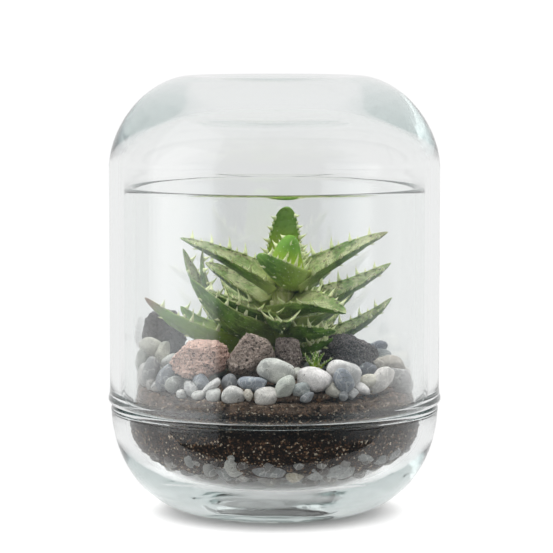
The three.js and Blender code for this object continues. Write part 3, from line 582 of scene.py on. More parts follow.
def finish_tree(tree, geometry, finish):
    """Ends a tree: its geometry takes its finish and goes out."""
    finished = add_node(tree, "GeometryNodeSetMaterial", None, {"Geometry": geometry, "Material": finish})
    add_node(tree, "NodeGroupOutput", None, {"Geometry": finished.outputs["Geometry"]})


def stones_tree():
    """Geometry nodes: a rounded stone on every point, to the half sizes and turn that it carries."""
    tree, given = new_tree("stones_on_points", {
        "Ball steps": "Int", "Flat side depth": "Float", "Edge sharpness": "Float",
        "Lump height": "Float", "Lump scale": "Float", "Seed": "Int", "Finish": "Material"})
    points = add_node(tree, "GeometryNodeMeshToPoints", None, {"Mesh": given["Geometry"]})
    ball = add_node(tree, "GeometryNodeMeshIcoSphere", None, {
        "Radius": 1.0, "Subdivisions": given["Ball steps"]})
    position = add_node(tree, "GeometryNodeInputPosition").outputs["Position"]
    aimed = stored(tree, ball.outputs["Mesh"], "way", position, "FLOAT_VECTOR")
    turned_by = add_node(tree, "FunctionNodeEulerToRotation", None, {
        "Euler": carried(tree, "turn", "FLOAT_VECTOR")})
    laid = laid_on(tree, points.outputs["Points"], aimed, turned_by.outputs["Rotation"],
                   carried(tree, "half", "FLOAT_VECTOR"))
    index = add_node(tree, "GeometryNodeInputIndex").outputs["Index"]
    number = calculate(tree, "ADD", calculate(tree, "MULTIPLY", index, 3.7), given["Seed"])
    numbered = stored(tree, laid, "own_number", number, domain="INSTANCE")
    real = realized(tree, stored(tree, numbered, "centre", position, "FLOAT_VECTOR", "INSTANCE"))
    own_number, aim = carried(tree, "own_number"), carried(tree, "way", "FLOAT_VECTOR")
    centre = carried(tree, "centre", "FLOAT_VECTOR")
    # Every stone has eight flat sides of its own, met by rounded edges
    crowding = 1.0
    for side in range(8):
        chance = add_node(tree, "ShaderNodeTexWhiteNoise", dict(noise_dimensions="1D"), {
            "W": calculate(tree, "ADD", own_number, side * 17.3)})
        facing = on_ways(tree, "SUBTRACT", chance.outputs["Color"], (0.5, 0.5, 0.5))
        facing = on_ways(tree, "NORMALIZE", facing)
        towards = add_node(tree, "ShaderNodeVectorMath", dict(operation="DOT_PRODUCT"), {0: aim, 1: facing})
        cut = calculate(tree, "MULTIPLY", chance.outputs["Value"], given["Flat side depth"])
        share = calculate(tree, "DIVIDE", towards.outputs["Value"], opposite(tree, cut))
        pressed = calculate(tree, "POWER", calculate(tree, "MAXIMUM", share, 0.0), given["Edge sharpness"])
        crowding = calculate(tree, "ADD", pressed, crowding)
    reach = calculate(tree, "POWER", crowding, calculate(tree, "DIVIDE", -1.0, given["Edge sharpness"]))
    drawn_in = add_node(tree, "ShaderNodeVectorMath", dict(operation="SCALE"), {
        0: on_ways(tree, "SUBTRACT", position, centre), "Scale": calculate(tree, "SUBTRACT", reach, 1.0)})
    faceted = add_node(tree, "GeometryNodeSetPosition", None, {
        "Geometry": real, "Offset": drawn_in.outputs[0]})
    lumps = add_node(tree, "ShaderNodeTexNoise", dict(noise_dimensions="4D"), {
        "W": own_number, "Scale": given["Lump scale"], "Detail": 1.0})
    lump = calculate(tree, "SUBTRACT", lumps.outputs["Fac"], 0.5)
    offset = add_node(tree, "ShaderNodeVectorMath", dict(operation="SCALE"), {
        0: add_node(tree, "GeometryNodeInputNormal").outputs["Normal"],
        "Scale": calculate(tree, "MULTIPLY", lump, given["Lump height"])})
    lumpy = add_node(tree, "GeometryNodeSetPosition", None, {
        "Geometry": faceted.outputs["Geometry"], "Offset": offset.outputs["Vector"]})
    smooth = add_node(tree, "GeometryNodeSetShadeSmooth", None, {"Geometry": lumpy.outputs["Geometry"]})
    finish_tree(tree, smooth.outputs["Geometry"], given["Finish"])
    return tree


def carry(mesh, name, values, kind="FLOAT"):
    """Puts one value for each vertex on a mesh, under a name."""
    layer = mesh.attributes.new(name, kind, "POINT")
    field = {"FLOAT": "value", "FLOAT_VECTOR": "vector", "FLOAT_COLOR": "color"}[kind]
    flat = values if kind == "FLOAT" else [part for value in values for part in value]
    layer.data.foreach_set(field, flat)


def made_by(tree, name, mesh, settings):
    """The plain piece that a geometry nodes tree makes of a mesh, its inputs set by name."""
    seed_piece = in_scene(name + "_seed", mesh)
    modifier = seed_piece.modifiers.new(name, "NODES")
    modifier.node_group = tree
    for item in tree.interface.items_tree:
        if item.in_out == "INPUT" and item.name in settings:
            modifier[item.identifier] = settings[item.name]
    seed_piece.update_tag()
    evaluated = seed_piece.evaluated_get(bpy.context.evaluated_depsgraph_get())
    made = bpy.data.meshes.new_from_object(evaluated)
    made.name = name
    seed_piece.modifiers.remove(modifier)
    bpy.data.objects.remove(seed_piece)
    bpy.data.meshes.remove(mesh)
    return in_scene(name, made)


STONES_TREE = stones_tree()


def laid_stones(name, stones, finish, flat_side_depth, edge_sharpness, seed, ball_steps):
    """One mesh of many stones, each given as its place, half sizes, turn in degrees and tone."""
    mesh = bpy.data.meshes.new(name + "_points")
    mesh.from_pydata([Vector(stone["at"]) * MM for stone in stones], [], [])
    carry(mesh, "half", [Vector(stone["half"]) * MM for stone in stones], "FLOAT_VECTOR")
    carry(mesh, "turn", [[math.radians(part) for part in stone["turn"]] for stone in stones], "FLOAT_VECTOR")
    carry(mesh, "tone", [colour(stone["tone"]) for stone in stones], "FLOAT_COLOR")
    return made_by(STONES_TREE, name, mesh, {
        "Ball steps": ball_steps, "Flat side depth": flat_side_depth, "Edge sharpness": edge_sharpness,
        "Lump height": 0.9 * MM, "Lump scale": 190.0, "Seed": seed, "Finish": finish,
    })


def joined(name, pieces):
    """Several pieces as one."""
    build = bmesh.new()
    finishes = []
    for piece in pieces:
        before = len(build.faces)
        build.from_mesh(piece.data)
        build.faces.ensure_lookup_table()
        slots = {}
        for place, finish in enumerate(piece.data.materials):
            if finish not in finishes:
                finishes.append(finish)
            slots[place] = finishes.index(finish)
        for face in build.faces[before:]:
            face.material_index = slots.get(face.material_index, 0)
    mesh = mesh_of(name, build)
    for finish in finishes:
        mesh.materials.append(finish)
    for piece in pieces:
        bpy.data.objects.remove(piece)
    return in_scene(name, mesh)


pebble_stone = tumbled_stone("tumbled_pebble", 0.75)
drain_stone = tumbled_stone("drainage_stone", 1.0)
well_floor = well_profile(NECK["rim"], 0.5)
dice = random.Random(11)
ring_stones = ring_of_stones(dice, well_floor, DRAIN_TONES, **DRAIN_ROW)
chips = [stone for row in CHIP_ROWS for stone in ring_of_stones(dice, well_floor, DRAIN_TONES, **row)]
for across, height, half, lean, tone in DRAIN_STONES:
    # Each touches the glass along the glass's own slope
    spread = (radius_on(well_floor, height + 1) - radius_on(well_floor, height - 1)) / 2
    grown = tuple(part * DRAIN_SEAT["growth"] for part in half)
    out = radius_on(well_floor, height) - DRAIN_SEAT["sunk"] * half[1]
    out -= DRAIN_SEAT["margin"] * math.hypot(half[1], half[2] * spread)
    depth = -math.sqrt(out ** 2 - across ** 2)
    turn = (0, lean / math.hypot(spread, 1), math.degrees(math.atan2(across, -depth)))
    ring_stones.append(dict(at=(across, depth, height), half=grown, turn=turn, tone=tone))
# Chips fill the gaps up to the soil
for number in range(LOOSE_CHIPS["count"]):
    angle, out = dice.uniform(0, 2 * math.pi), LOOSE_CHIPS["radius"] * math.sqrt(dice.uniform(0.05, 1))
    size = dice.uniform(*LOOSE_CHIPS["sizes"])
    low = height_on(well_floor, min(out + size, LOOSE_CHIPS["reach"])) + size
    if low < DRAIN_TOP + 1:
        chips.append(dict(
            at=(out * math.cos(angle), out * math.sin(angle), dice.uniform(low, DRAIN_TOP + 1)),
            half=(size, size * 0.8, size * 0.7), tone=dice.choice(DRAIN_TONES),
            turn=(dice.uniform(-60, 60), dice.uniform(-60, 60), dice.uniform(0, 180)),
        ))
drainage = joined("drainage", [
    laid_stones("drain_ring", ring_stones, drain_stone, seed=11, ball_steps=4, **CHIPPED),
    laid_stones("drain_chips", chips, drain_stone, seed=12, ball_steps=3, **CHIPPED)])
placed(drainage, "pebble", "drainage_pebbles")


# Potting soil: dark crumbly peat with bits of bark, clay and white grit, pressed against the glass.
# It stands on the drainage pebbles, lower at the glass than round the plant.

SOIL = dict(bottom=23, wall=52.5, mount=59.5, mount_radius=30, crown=60.1, inset=1.1, rim_from=50,
            sides=180)
# How much higher the soil lies at the left and at the right, as it was poured in from one side
SOIL_LIE = dict(left=2.6, right=1.6, right_from=0.45, rough=0.5)
# Between the stones below, the soil sags by a different amount all round
SAG = dict(below=31, within=6, least=0.8, swing=1.6)
soil_side = [(radius, height) for radius, height in well_profile(SOIL["wall"], SOIL["inset"])
             if height > SOIL["bottom"] + 0.5]
soil_foot_radius = soil_side[0][0] - 1.2
# Where the painted shade behind the bowl's shoulder starts, is full, starts to fade and has faded, in metres
PAINTED_SHADE_BAND = (0.0385, 0.0405, 0.0465, 0.0485)


def share_of(value):
    """A value kept between 0 and 1."""
    return max(0, min(1, value))


soil_outline = finer(
    [(0, SOIL["bottom"]), (soil_foot_radius, SOIL["bottom"])] + soil_side
    + [(SOIL["mount_radius"], SOIL["mount"]), (0, SOIL["crown"])], 1.0)
soil = turned("soil", soil_outline, SOIL["sides"])
for vertex in soil.data.vertices:
    place = vertex.co.copy()
    radius = math.hypot(place.x, place.y)
    if radius < 0.001:
        continue
    rough = noise.noise(place * 420) * 0.45 + noise.noise(place * 1100) * 0.3
    low = share_of((SAG["below"] - place.z / MM) / SAG["within"])
    rough += low * (SAG["least"] + SAG["swing"] * noise.noise(place * 210))
    inwards = Vector((place.x, place.y, 0)) / radius
    vertex.co -= inwards * (0.5 + rough) * MM
    top = share_of((place.z / MM - 50) / 2.5)
    aside = place.x / 0.06
    lie = SOIL_LIE["left"] * max(0, -aside) + SOIL_LIE["right"] * max(0, aside - SOIL_LIE["right_from"])
    uneven = SOIL_LIE["rough"] * noise.noise(place * 160)
    vertex.co.z += top * (lie * min(1, radius / 0.055) + uneven) * MM


def height_of(tree, place):
    """How high a place is."""
    return add_node(tree, "ShaderNodeSeparateXYZ", None, {0: place}).outputs["Z"]


def tones_by(tree, value, first, steps, interpolation="LINEAR"):
    """A colour for every value: the first, and then those of the steps."""
    ramp = add_node(tree, "ShaderNodeValToRGB", None, {"Fac": value})
    ramp.color_ramp.interpolation = interpolation
    tones = ramp.color_ramp.elements
    tones.remove(tones[1])
    tones[0].color = colour(first)
    for where, code in steps:
        tones.new(where).color = colour(code)
    return ramp.outputs["Color"]


def earthen(tree, shader, place, base):
    """Soil's colour, with painted shade that makes it nearly black in a band behind the bowl's shoulder; its
    skin is dull.
    """
    start, full, shade_fading, shade_gone = PAINTED_SHADE_BAND
    height = height_of(tree, place)
    # Painted shade: the soil is darkened nearly to black where the bowl's shoulder and the cover's foot shade
    # it
    share = calculate(tree, "MULTIPLY", opposite(tree, steps_between(tree, height, shade_fading, shade_gone)), 0.72)
    base = marked(tree, base, colour("#080504"), height, start, full, share)
    shader.inputs["Roughness"].default_value = 0.95
    shader.inputs["Specular IOR Level"].default_value = 0.2
    return base


def crumbly_soil():
    """Dark peat with fine cells of lighter bark, clay and grit, paler in patches at the top."""
    finish, tree, shader, place = new_finish("crumbly_soil")
    grains = add_node(tree, "ShaderNodeTexVoronoi", None, {"Vector": place, "Scale": 1500.0})
    kind = add_node(tree, "ShaderNodeSeparateColor", None, {"Color": grains.outputs["Color"]}).outputs["Red"]
    peat = tones_by(tree, kind, "#0f0a07", [
        (0.5, "#251911"), (0.74, "#3a281c"), (0.87, "#5c4230"), (0.93, "#8a6a4c"), (0.975, "#c4b7a2")])
    clods = noise_on(tree, place, 330, 3, 0.6)
    base = marked(tree, blend(tree, 0.65, peat, colour("#0b0705")), peat, clods, 0.3, 0.62)
    # With the painted shade in the band behind the bowl's shoulder
    base = earthen(tree, shader, place, base)
    # Paler in patches from 48 mm up
    dry = calculate(tree, "MULTIPLY", steps_between(tree, clods, 0.25, 0.7), 0.6)
    base = marked(tree, base, colour("#8a7667"), height_of(tree, place), 0.048, 0.051, dry)
    tree.links.new(base, shader.inputs["Base Color"])
    uneven_skin(tree, shader, blend(tree, 0.5, grains.outputs["Distance"], clods), 0.9, 0.0008)
    return finish


def soil_crumb():
    """The bits in the soil: each is peat, bark, clay or pale grit."""
    finish, tree, shader, place = new_finish("soil_crumb")
    bit = tones_by(tree, own(tree, "kind"), "#1a110b", [
        (0.35, "#2c1e15"), (0.58, "#46311f"), (0.76, "#6d5038"), (0.9, "#977352"), (0.97, "#bfb19a")],
        "CONSTANT")
    grain = noise_on(tree, place, 2500, 2)
    crumb = blend(tree, calculate(tree, "MULTIPLY", grain, 0.5), bit, colour("#2a1f17"))
    # The crumbs take the same painted shade in the band behind the bowl's shoulder
    tree.links.new(earthen(tree, shader, place, crumb), shader.inputs["Base Color"])
    return finish


def drawn(tree, low, high, seed):
    """A number between two, drawn anew for every crumb or dot."""
    return add_node(tree, "FunctionNodeRandomValue", dict(data_type="FLOAT"), {
        2: low, 3: high, "Seed": seed}).outputs[1]


def triple(tree, *parts):
    """Three numbers as one place, way or size."""
    return add_node(tree, "ShaderNodeCombineXYZ", None, dict(enumerate(parts))).outputs[0]


def crumbs_tree():
    """Geometry nodes: small angular crumbs scattered over a surface, sunk by half."""
    tree, given = new_tree("crumbs_on_surface", {
        "Crumbs per square metre": "Float", "Smallest": "Float", "Largest": "Float", "Seed": "Int",
        "Finish": "Material"})
    spread = add_node(tree, "GeometryNodeDistributePointsOnFaces", None, {
        "Mesh": given["Geometry"], "Density": given["Crumbs per square metre"], "Seed": given["Seed"]})
    crumb = add_node(tree, "GeometryNodeMeshIcoSphere", None, {"Radius": 1.0, "Subdivisions": 1})
    way = add_node(tree, "FunctionNodeRandomValue", dict(data_type="FLOAT_VECTOR"), {
        0: (-3.0, -3.0, -3.0), 1: (3.0, 3.0, 3.0), "Seed": given["Seed"]})
    turned_by = add_node(tree, "FunctionNodeEulerToRotation", None, {"Euler": way.outputs[0]})
    size = drawn(tree, given["Smallest"], given["Largest"], given["Seed"])
    sizes = triple(tree, calculate(tree, "MULTIPLY", size, drawn(tree, 0.5, 1.6, 4)),
                   size, calculate(tree, "MULTIPLY", size, 0.7))
    laid = laid_on(tree, spread.outputs["Points"], crumb.outputs["Mesh"],
                   turned_by.outputs["Rotation"], sizes)
    kinds = stored(tree, laid, "kind", drawn(tree, 0.0, 1.0, 9), domain="INSTANCE")
    finish_tree(tree, realized(tree, kinds), given["Finish"])
    return tree


CRUMBS_TREE = crumbs_tree()
# The crumbs lie on the side, against the glass, and on the rim of the top, not under the gravel
rim_band = bmesh.new()
rim_band.from_mesh(soil.data)
hidden = [face for face in rim_band.faces
          if math.hypot(*face.calc_center_median()[:2]) < SOIL["rim_from"] * MM]
bmesh.ops.delete(rim_band, geom=hidden, context="FACES")
crumbs = made_by(CRUMBS_TREE, "soil_crumbs", mesh_of("soil_band", rim_band), {
    "Crumbs per square metre": 340000.0, "Smallest": 0.14 * MM, "Largest": 0.38 * MM,
    "Seed": 6, "Finish": soil_crumb()})
soil.data.materials.append(crumbly_soil())
soil = joined("soil", [soil, crumbs])
placed(soil, "potting_soil", "potting_soil")


# Lava rocks: broken lumps of porous lava, one red, one brown, three dark, set into the gravel round
# the plant by hand. Each has flat broken sides, rough edges and open pores.

# How full a rock's or pebble's form is, 2 for a ball, and how finely its ball is divided
ROCK = dict(power=2.9, steps=6)
# Roughness and pores of several sizes: how many there are to the rock, and how high or deep
LAVA_ROUGHNESS = ((2.6, 0.07), (5.5, 0.07), (11, 0.065), (24, 0.045))
LAVA_PORES = ((6, 0.12), (11, 0.11), (21, 0.075))
# A cut takes off this share of what lies past it, so that its face stays a little full
CUT_SHARE = 0.92
# The cuts are flat broken sides: the way each faces, and how far it lies from the rock's middle
LAVA_ROCKS = [
    dict(name="red", at=(-29.8, -33, 69.5), half=(10.9, 8.8, 7.6), turn=(8, -6, 20),
         light="#dcb9ab", dark="#8f6659", pore=1.0,
         cuts=[((-0.75, 0, 0.66), 7.6), ((0.03, 0, 1), 6.6), ((0.1, -1, 0.25), 7.2),
               ((0.8, -0.6, 0.1), 8.6), ((-0.7, -0.7, 0), 8.8), ((0.5, 0, 0.86), 8.6)]),
    dict(name="brown", at=(-9.2, -34, 70.7), half=(9.8, 8.6, 9.4), turn=(-10, 30, 10),
         light="#b3a298", dark="#574a43", pore=0.9,
         cuts=[((-0.72, 0, 0.69), 7.0), ((-0.85, 0, 0.52), 7.0), ((0.56, 0, 0.83), 8.0),
               ((0.29, 0.1, 0.96), 7.8), ((0.5, -0.62, -0.6), 6.2), ((-0.2, -0.97, 0.2), 7.0),
               ((0.95, 0, 0.3), 8.4)]),
    dict(name="dark", at=(5.4, -27.5, 70.6), half=(6, 6, 7), turn=(5, -12, 40),
         light="#968983", dark="#403836", pore=0.9,
         cuts=[((0.1, 0, 1), 6.2), ((-1, 0, 0.1), 5.0), ((1, 0, 0.2), 5.2), ((0.2, -1, 0.1), 4.8)]),
    dict(name="black_right", at=(31.5, -14, 68.4), half=(12, 9.5, 7.8), turn=(0, 10, -15),
         light="#5c5658", dark="#1f1d1f", pore=1.4,
         cuts=[((-0.6, -0.3, 0.74), 7.2), ((0.5, 0, 0.86), 7.4), ((0.1, -1, 0.2), 7.4),
               ((0.8, -0.5, 0.3), 9.4)]),
    dict(name="black_left", at=(-48.4, 8, 75.4), half=(9.4, 9, 9.2), turn=(0, 14, 20),
         light="#2c2b2e", dark="#08080a", pore=1.7,
         cuts=[((-0.1, 0, 1), 9.0), ((-0.95, 0, 0.3), 9.4), ((0.7, 0, 0.7), 9.2), ((0, -1, 0.2), 7.6)]),
]


def stone_ball(name, stone, power, steps, surface):
    """A ball pushed to a blocky form, stretched to its half sizes, its sides cut flat and roughened;
    surface gives how far each point reaches and how rough it is."""
    build = bmesh.new()
    bmesh.ops.create_icosphere(build, subdivisions=steps, radius=1)
    # A turn about Z first, then Y, then X
    turn = Euler([math.radians(part) for part in stone["turn"]], "ZYX").to_matrix()
    half = Vector(stone["half"])
    cuts = [(Vector(facing).normalized(), distance) for facing, distance in stone.get("cuts", [])]
    for vertex in build.verts:
        way = vertex.co.normalized()
        reach, rough = surface(way)
        reach *= (abs(way.x) ** power + abs(way.y) ** power + abs(way.z) ** power) ** (-1 / power)
        point = turn @ Vector((way.x * half.x, way.y * half.y, way.z * half.z)) * reach
        for facing, distance in cuts:
            point -= facing * max(0, facing.dot(point) - distance) * CUT_SHARE
        vertex.co = (point * (1 + rough) + Vector(stone["at"])) * MM
    mesh = mesh_of(name, build)
    mesh.shade_smooth()
    return in_scene(name, mesh)


def broken_surface(seed, pore_depth):
    """Flat broken sides with rough edges, and pores of several sizes."""
    dice = random.Random(seed)
    sides = []
    for number in range(12):
        height = dice.uniform(-0.9, 0.9)
        turn = dice.uniform(0, 2 * math.pi)
        level = math.sqrt(1 - height * height)
        facing = Vector((level * math.cos(turn), level * math.sin(turn), height))
        sides.append((facing, dice.uniform(0.84, 1.0)))
    shift = Vector((seed * 3.1, seed * 1.7, seed * 2.3))

    def surface(way):
        flat = min([distance / max(side.dot(way), 0.3) for side, distance in sides] + [1.04])
        rough = sum(height * noise.noise(way * number + shift) for number, height in LAVA_ROUGHNESS)
        pores = 0
        for number, depth in LAVA_PORES:
            nearest = noise.voronoi(way * number + shift)[0][0]
            there = share_of(noise.noise(way * number * 0.35 + shift * 2) * 2 + 0.55)
            pores += depth * there * max(0, 1 - (nearest / 0.4) ** 2)
        return flat, rough - pores * pore_depth

    return surface


def porous_lava(name, light, dark):
    """Lava: dull broken faces with a dusting of pale grains, and painted shade that makes the pores nearly
    black.
    """
    finish, tree, shader, place = new_finish(name)
    light, dark, deep = colour(light), colour(dark), colour("#060404")
    pores = add_node(tree, "ShaderNodeTexVoronoi", None, {
        "Vector": stirred(tree, place, 500.0, 0.0022), "Scale": 640.0}).outputs["Distance"]
    fine = noise_on(tree, place, 1500, 5, 0.75)
    cloud = noise_on(tree, place, 260, 4, 0.65)
    base = marked(tree, blend(tree, 0.5, dark, light), light, cloud, 0.3, 0.5)
    # Painted shade: the pores are darkened nearly to black where the cloud lets them show
    pitted = calculate(tree, "MULTIPLY", steps_between(tree, cloud, 0.66, 0.44), 0.9)
    base = marked(tree, base, blend(tree, 0.7, dark, deep), pores, 0.4, 0.26, pitted)
    base = marked(tree, base, blend(tree, 0.4, light, colour("#e2d8ce")), fine, 0.54, 0.62, 0.8)
    base = marked(tree, base, blend(tree, 0.5, dark, deep), fine, 0.46, 0.38, 0.85)
    tree.links.new(base, shader.inputs["Base Color"])
    shader.inputs["Roughness"].default_value = 0.95
    shader.inputs["Specular IOR Level"].default_value = 0.25
    uneven_skin(tree, shader, blend(tree, 0.5, fine, pores), 1.0, 0.0009)
    return finish


for number, rock in enumerate(LAVA_ROCKS):
    name = "lava_" + rock["name"]
    lump = stone_ball(name, rock, ROCK["power"], ROCK["steps"], broken_surface(number + 2, rock["pore"]))
    lump.data.materials.append(porous_lava(name, rock["light"], rock["dark"]))
    slot = "black_lava" if rock["name"].startswith("black") else rock["name"] + "_lava"
    placed(lump, slot, "lava_rock_" + rock["name"])


# Large pebbles: tumbled stones that can be told apart, white, tan, slate and blue-grey, laid by hand
# round the rocks and along the glass.

PEBBLE = dict(power=2.2, steps=5, flat_sides=9, edge_sharpness=15, fuller=1.07)
LARGE_PEBBLES = [
    dict(name="front_pale", at=(0.8, -45, 65.7), half=(7.3, 5.2, 4.8), turn=(0, 12, 0), tone="#d0d0cb"),
    dict(name="front_white", at=(15.8, -46.5, 61.8), half=(7.3, 5.4, 5.1), turn=(0, 18, 0), tone="#ede8e7"),
    dict(name="front_round", at=(27.6, -40, 64), half=(6.8, 5, 5), turn=(0, 22, 0), tone="#e2dfde"),
    dict(name="front_blue", at=(27, -48.3, 62), half=(3.6, 3, 5.2), turn=(0, -28, 0), tone="#969aa3"),
    dict(name="slate", at=(36.8, -32, 63.8), half=(4.4, 3.2, 3.8), turn=(0, -38, 0), tone="#5d5f67"),
    dict(name="right_tan", at=(47.2, -15.5, 64.4), half=(7.3, 5.8, 3.9), turn=(0, 6, 20), tone="#b9b0a5"),
    dict(name="right_white", at=(41.6, -34, 60.3), half=(7.2, 3.8, 3.6), turn=(0, -44, 18), tone="#e5dfdb"),
    dict(name="right_grey", at=(50, -20.6, 57.6), half=(5.2, 4.4, 7), turn=(0, -12, 25), tone="#a19e9f"),
    dict(name="right_back_flat", at=(45.4, 18, 67.8), half=(5, 4.6, 2.4), turn=(0, -10, 0), tone="#5f6573"),
    dict(name="right_back_blue", at=(46.9, 6.5, 65), half=(4.4, 4.4, 3.3), turn=(0, 14, 0), tone="#8a9092"),
    dict(name="left_wedge", at=(-51.8, -9, 71), half=(5.6, 4, 4), turn=(0, 24, 0), tone="#bdbbb1"),
    dict(name="left_upright", at=(-45.8, -18.6, 69.8), half=(2.8, 3.2, 4.8), turn=(0, 24, 0), tone="#bab9ac"),
    dict(name="left_tall", at=(-49.4, -24, 63), half=(3, 3.8, 5.8), turn=(0, 6, 0), tone="#949496"),
    dict(name="left_second", at=(-43.2, -33, 61.4), half=(3, 3.8, 5.6), turn=(0, 20, 0), tone="#878b93"),
    dict(name="left_leaning", at=(-41.5, -24, 67), half=(4.6, 3.2, 2.9), turn=(0, -34, 0), tone="#b3b2ae"),
    dict(name="left_behind", at=(-40.6, -29, 63), half=(2.8, 3.4, 4.6), turn=(0, 16, 0), tone="#626368"),
]


def tumbled_surface(seed):
    """A rounded form with flat sides of its own, met by worn edges, and a little uneven."""
    dice = random.Random(seed)
    shift = Vector((seed * 5.3, seed * 2.9, seed * 4.1))
    sides = []
    for number in range(PEBBLE["flat_sides"]):
        facing = Vector([dice.gauss(0, 1) for part in range(3)]).normalized()
        sides.append((facing, dice.uniform(0.72, 0.95)))

    def surface(way):
        sharp = PEBBLE["edge_sharpness"]
        crowding = 1 + sum(max(facing.dot(way) / distance, 0) ** sharp for facing, distance in sides)
        uneven = 0.05 * noise.noise(way * 1.4 + shift) + 0.012 * noise.noise(way * 5 + shift)
        return PEBBLE["fuller"] * crowding ** (-1 / sharp), uneven

    return surface


for number, pebble in enumerate(LARGE_PEBBLES):
    form = tumbled_surface(number + 1)
    stone = stone_ball("stone_" + pebble["name"], pebble, PEBBLE["power"], PEBBLE["steps"], form)
    carry(stone.data, "tone", [colour(pebble["tone"])] * len(stone.data.vertices), "FLOAT_COLOR")
    stone.data.materials.append(pebble_stone)
    placed(stone, "pebble", "pebble_" + pebble["name"])


# Pebble dressing: small tumbled pebbles over a thin bed of grit. Those against the front of the neck
# are laid where they show; behind the plant they lie in rows and are banked up to the glass.

# The pebbles that are laid one by one: place, half sizes, lean and tone
FRONT_PEBBLES = [
    ((-54.8, -11.6, 64.8), (3.4, 5, 5.8), -8, "#91948c"), ((-52.8, -17, 60), (3.2, 4.2, 5.6), 0, "#bbb9b7"),
    ((-49.2, -25, 57.6), (2, 2.6, 3.8), 4, "#b8b5b2"), ((-46, -30.4, 57), (2.7, 3, 2.7), 30, "#b4b3b1"),
    ((-39.3, -36.8, 59), (3.9, 3.9, 3.8), 0, "#a7a8a3"),
    ((-32.9, -42.5, 58.2), (2.7, 3.2, 3.8), -12, "#bfbebe"), ((-36.3, -43.5, 56), (2, 2, 2), 0, "#d1cfcc"),
    ((-28.7, -40.5, 60.8), (3.6, 3.6, 3.8), 0, "#959aa3"),
    ((-29.4, -46.6, 55.8), (3.4, 2.8, 2), 0, "#cfcdc9"), ((-24.3, -47, 60), (5, 2.4, 1.9), -38, "#d8d5d4"),
    ((-23.7, -49, 56), (3.3, 3.6, 3.4), -30, "#cccbc8"),
    ((-17.8, -44, 60.6), (3.4, 3.4, 3.8), 0, "#8e9094"),
    ((-16.1, -51.6, 56), (4.7, 4.3, 4.7), 0, "#dbd8d5"),
    ((-10, -53.2, 56.8), (2, 2.4, 2.8), -12, "#d9d0c2"),
    ((-8.1, -48.6, 60.8), (6.6, 3.8, 3.2), 8, "#989ea8"),
    ((-3.6, -52.6, 56.2), (5, 4.6, 4.6), -20, "#d5d0cb"),
    ((4.1, -52.4, 59.8), (3.6, 3.4, 5.5), 28, "#cdd0c7"),
    ((10.7, -51.2, 58.2), (4, 3.6, 3.7), 24, "#a0a5a5"), ((12.9, -54, 56), (3.2, 2, 1.9), -24, "#8d8f93"),
    ((23.3, -48, 58), (3.4, 3, 3.2), 0, "#d8d3c7"), ((30.6, -45.6, 56.4), (2.6, 2.8, 2.7), 0, "#c6c5c5"),
    ((26.8, -49.4, 56), (1.9, 2, 2.2), 0, "#9b9c9f"), ((34, -41.4, 57.8), (4, 2.8, 2.6), 38, "#e8e3e2"),
    ((37.2, -36, 60), (4, 3.4, 3.2), -24, "#d8d2c4"), ((55.6, -8, 58.6), (2.6, 3.6, 4.4), 0, "#d0cecb"),
]
GRAVEL = dict(thickness=2, radius=54, above_soil=0.4, rough=0.7)
# The large rows lie behind this line, and the small ones leave the front of the middle free
BACK_FROM = -8
FREE_FRONT = dict(before=-34, half_width=30)
WORN = dict(flat_side_depth=0.38, edge_sharpness=13.0)
GRAVEL_ROWS = [dict(radius=52.4, count=25, size=5.6), dict(radius=42, count=15, size=5.8)]
SMALL_ROWS = [dict(radius=48.5, count=42, size=3.2), dict(radius=41, count=32, size=3.0),
              dict(radius=34, count=26, size=3.4), dict(radius=27, count=20, size=3.2),
              dict(radius=19, count=14, size=3.0)]
BANK = dict(radius=50.5, height=63.5, half=(5.4, 4.6, 4.8), angles=(160, 125, 95, 60, 28))
GRAVEL_TONES = ["#d6dad2", "#c3c9c4", "#a3acae", "#e2e2da", "#8f979a", "#d3cfbf", "#b5bbb6"]

gravel_floor = [(radius, height + GRAVEL["above_soil"]) for radius, height in (
    (0, SOIL["crown"]), (SOIL["mount_radius"], SOIL["mount"]), (NECK["radius"] - NECK["wall"], SOIL["wall"]))]
gravel = [dict(at=at, half=half, turn=(0, lean, 0), tone=tone) for at, half, lean, tone in FRONT_PEBBLES]
dice = random.Random(5)
for row in GRAVEL_ROWS:
    gravel += [stone for stone in ring_of_stones(dice, gravel_floor, GRAVEL_TONES, **row)
               if stone["at"][1] > BACK_FROM]
for row in SMALL_ROWS:
    for stone in ring_of_stones(dice, gravel_floor, GRAVEL_TONES, **row):
        x, y, z = stone["at"]
        stone["at"] = (x, y, z + GRAVEL["thickness"] - 0.8)
        if y > FREE_FRONT["before"] or abs(x) > FREE_FRONT["half_width"]:
            gravel.append(stone)
for number, degrees in enumerate(BANK["angles"]):
    angle = math.radians(degrees)
    gravel.append(dict(
        at=(BANK["radius"] * math.cos(angle), BANK["radius"] * math.sin(angle), BANK["height"] + number % 3),
        half=BANK["half"], turn=(20 * (number % 2), 15, degrees), tone=GRAVEL_TONES[number]))
front, back = gravel[:len(FRONT_PEBBLES)], gravel[len(FRONT_PEBBLES):]
front_gravel = laid_stones("front_gravel", front, pebble_stone, seed=5, ball_steps=4, **WORN)
back_gravel = laid_stones("back_gravel", back, pebble_stone, seed=6, ball_steps=3, **WORN)

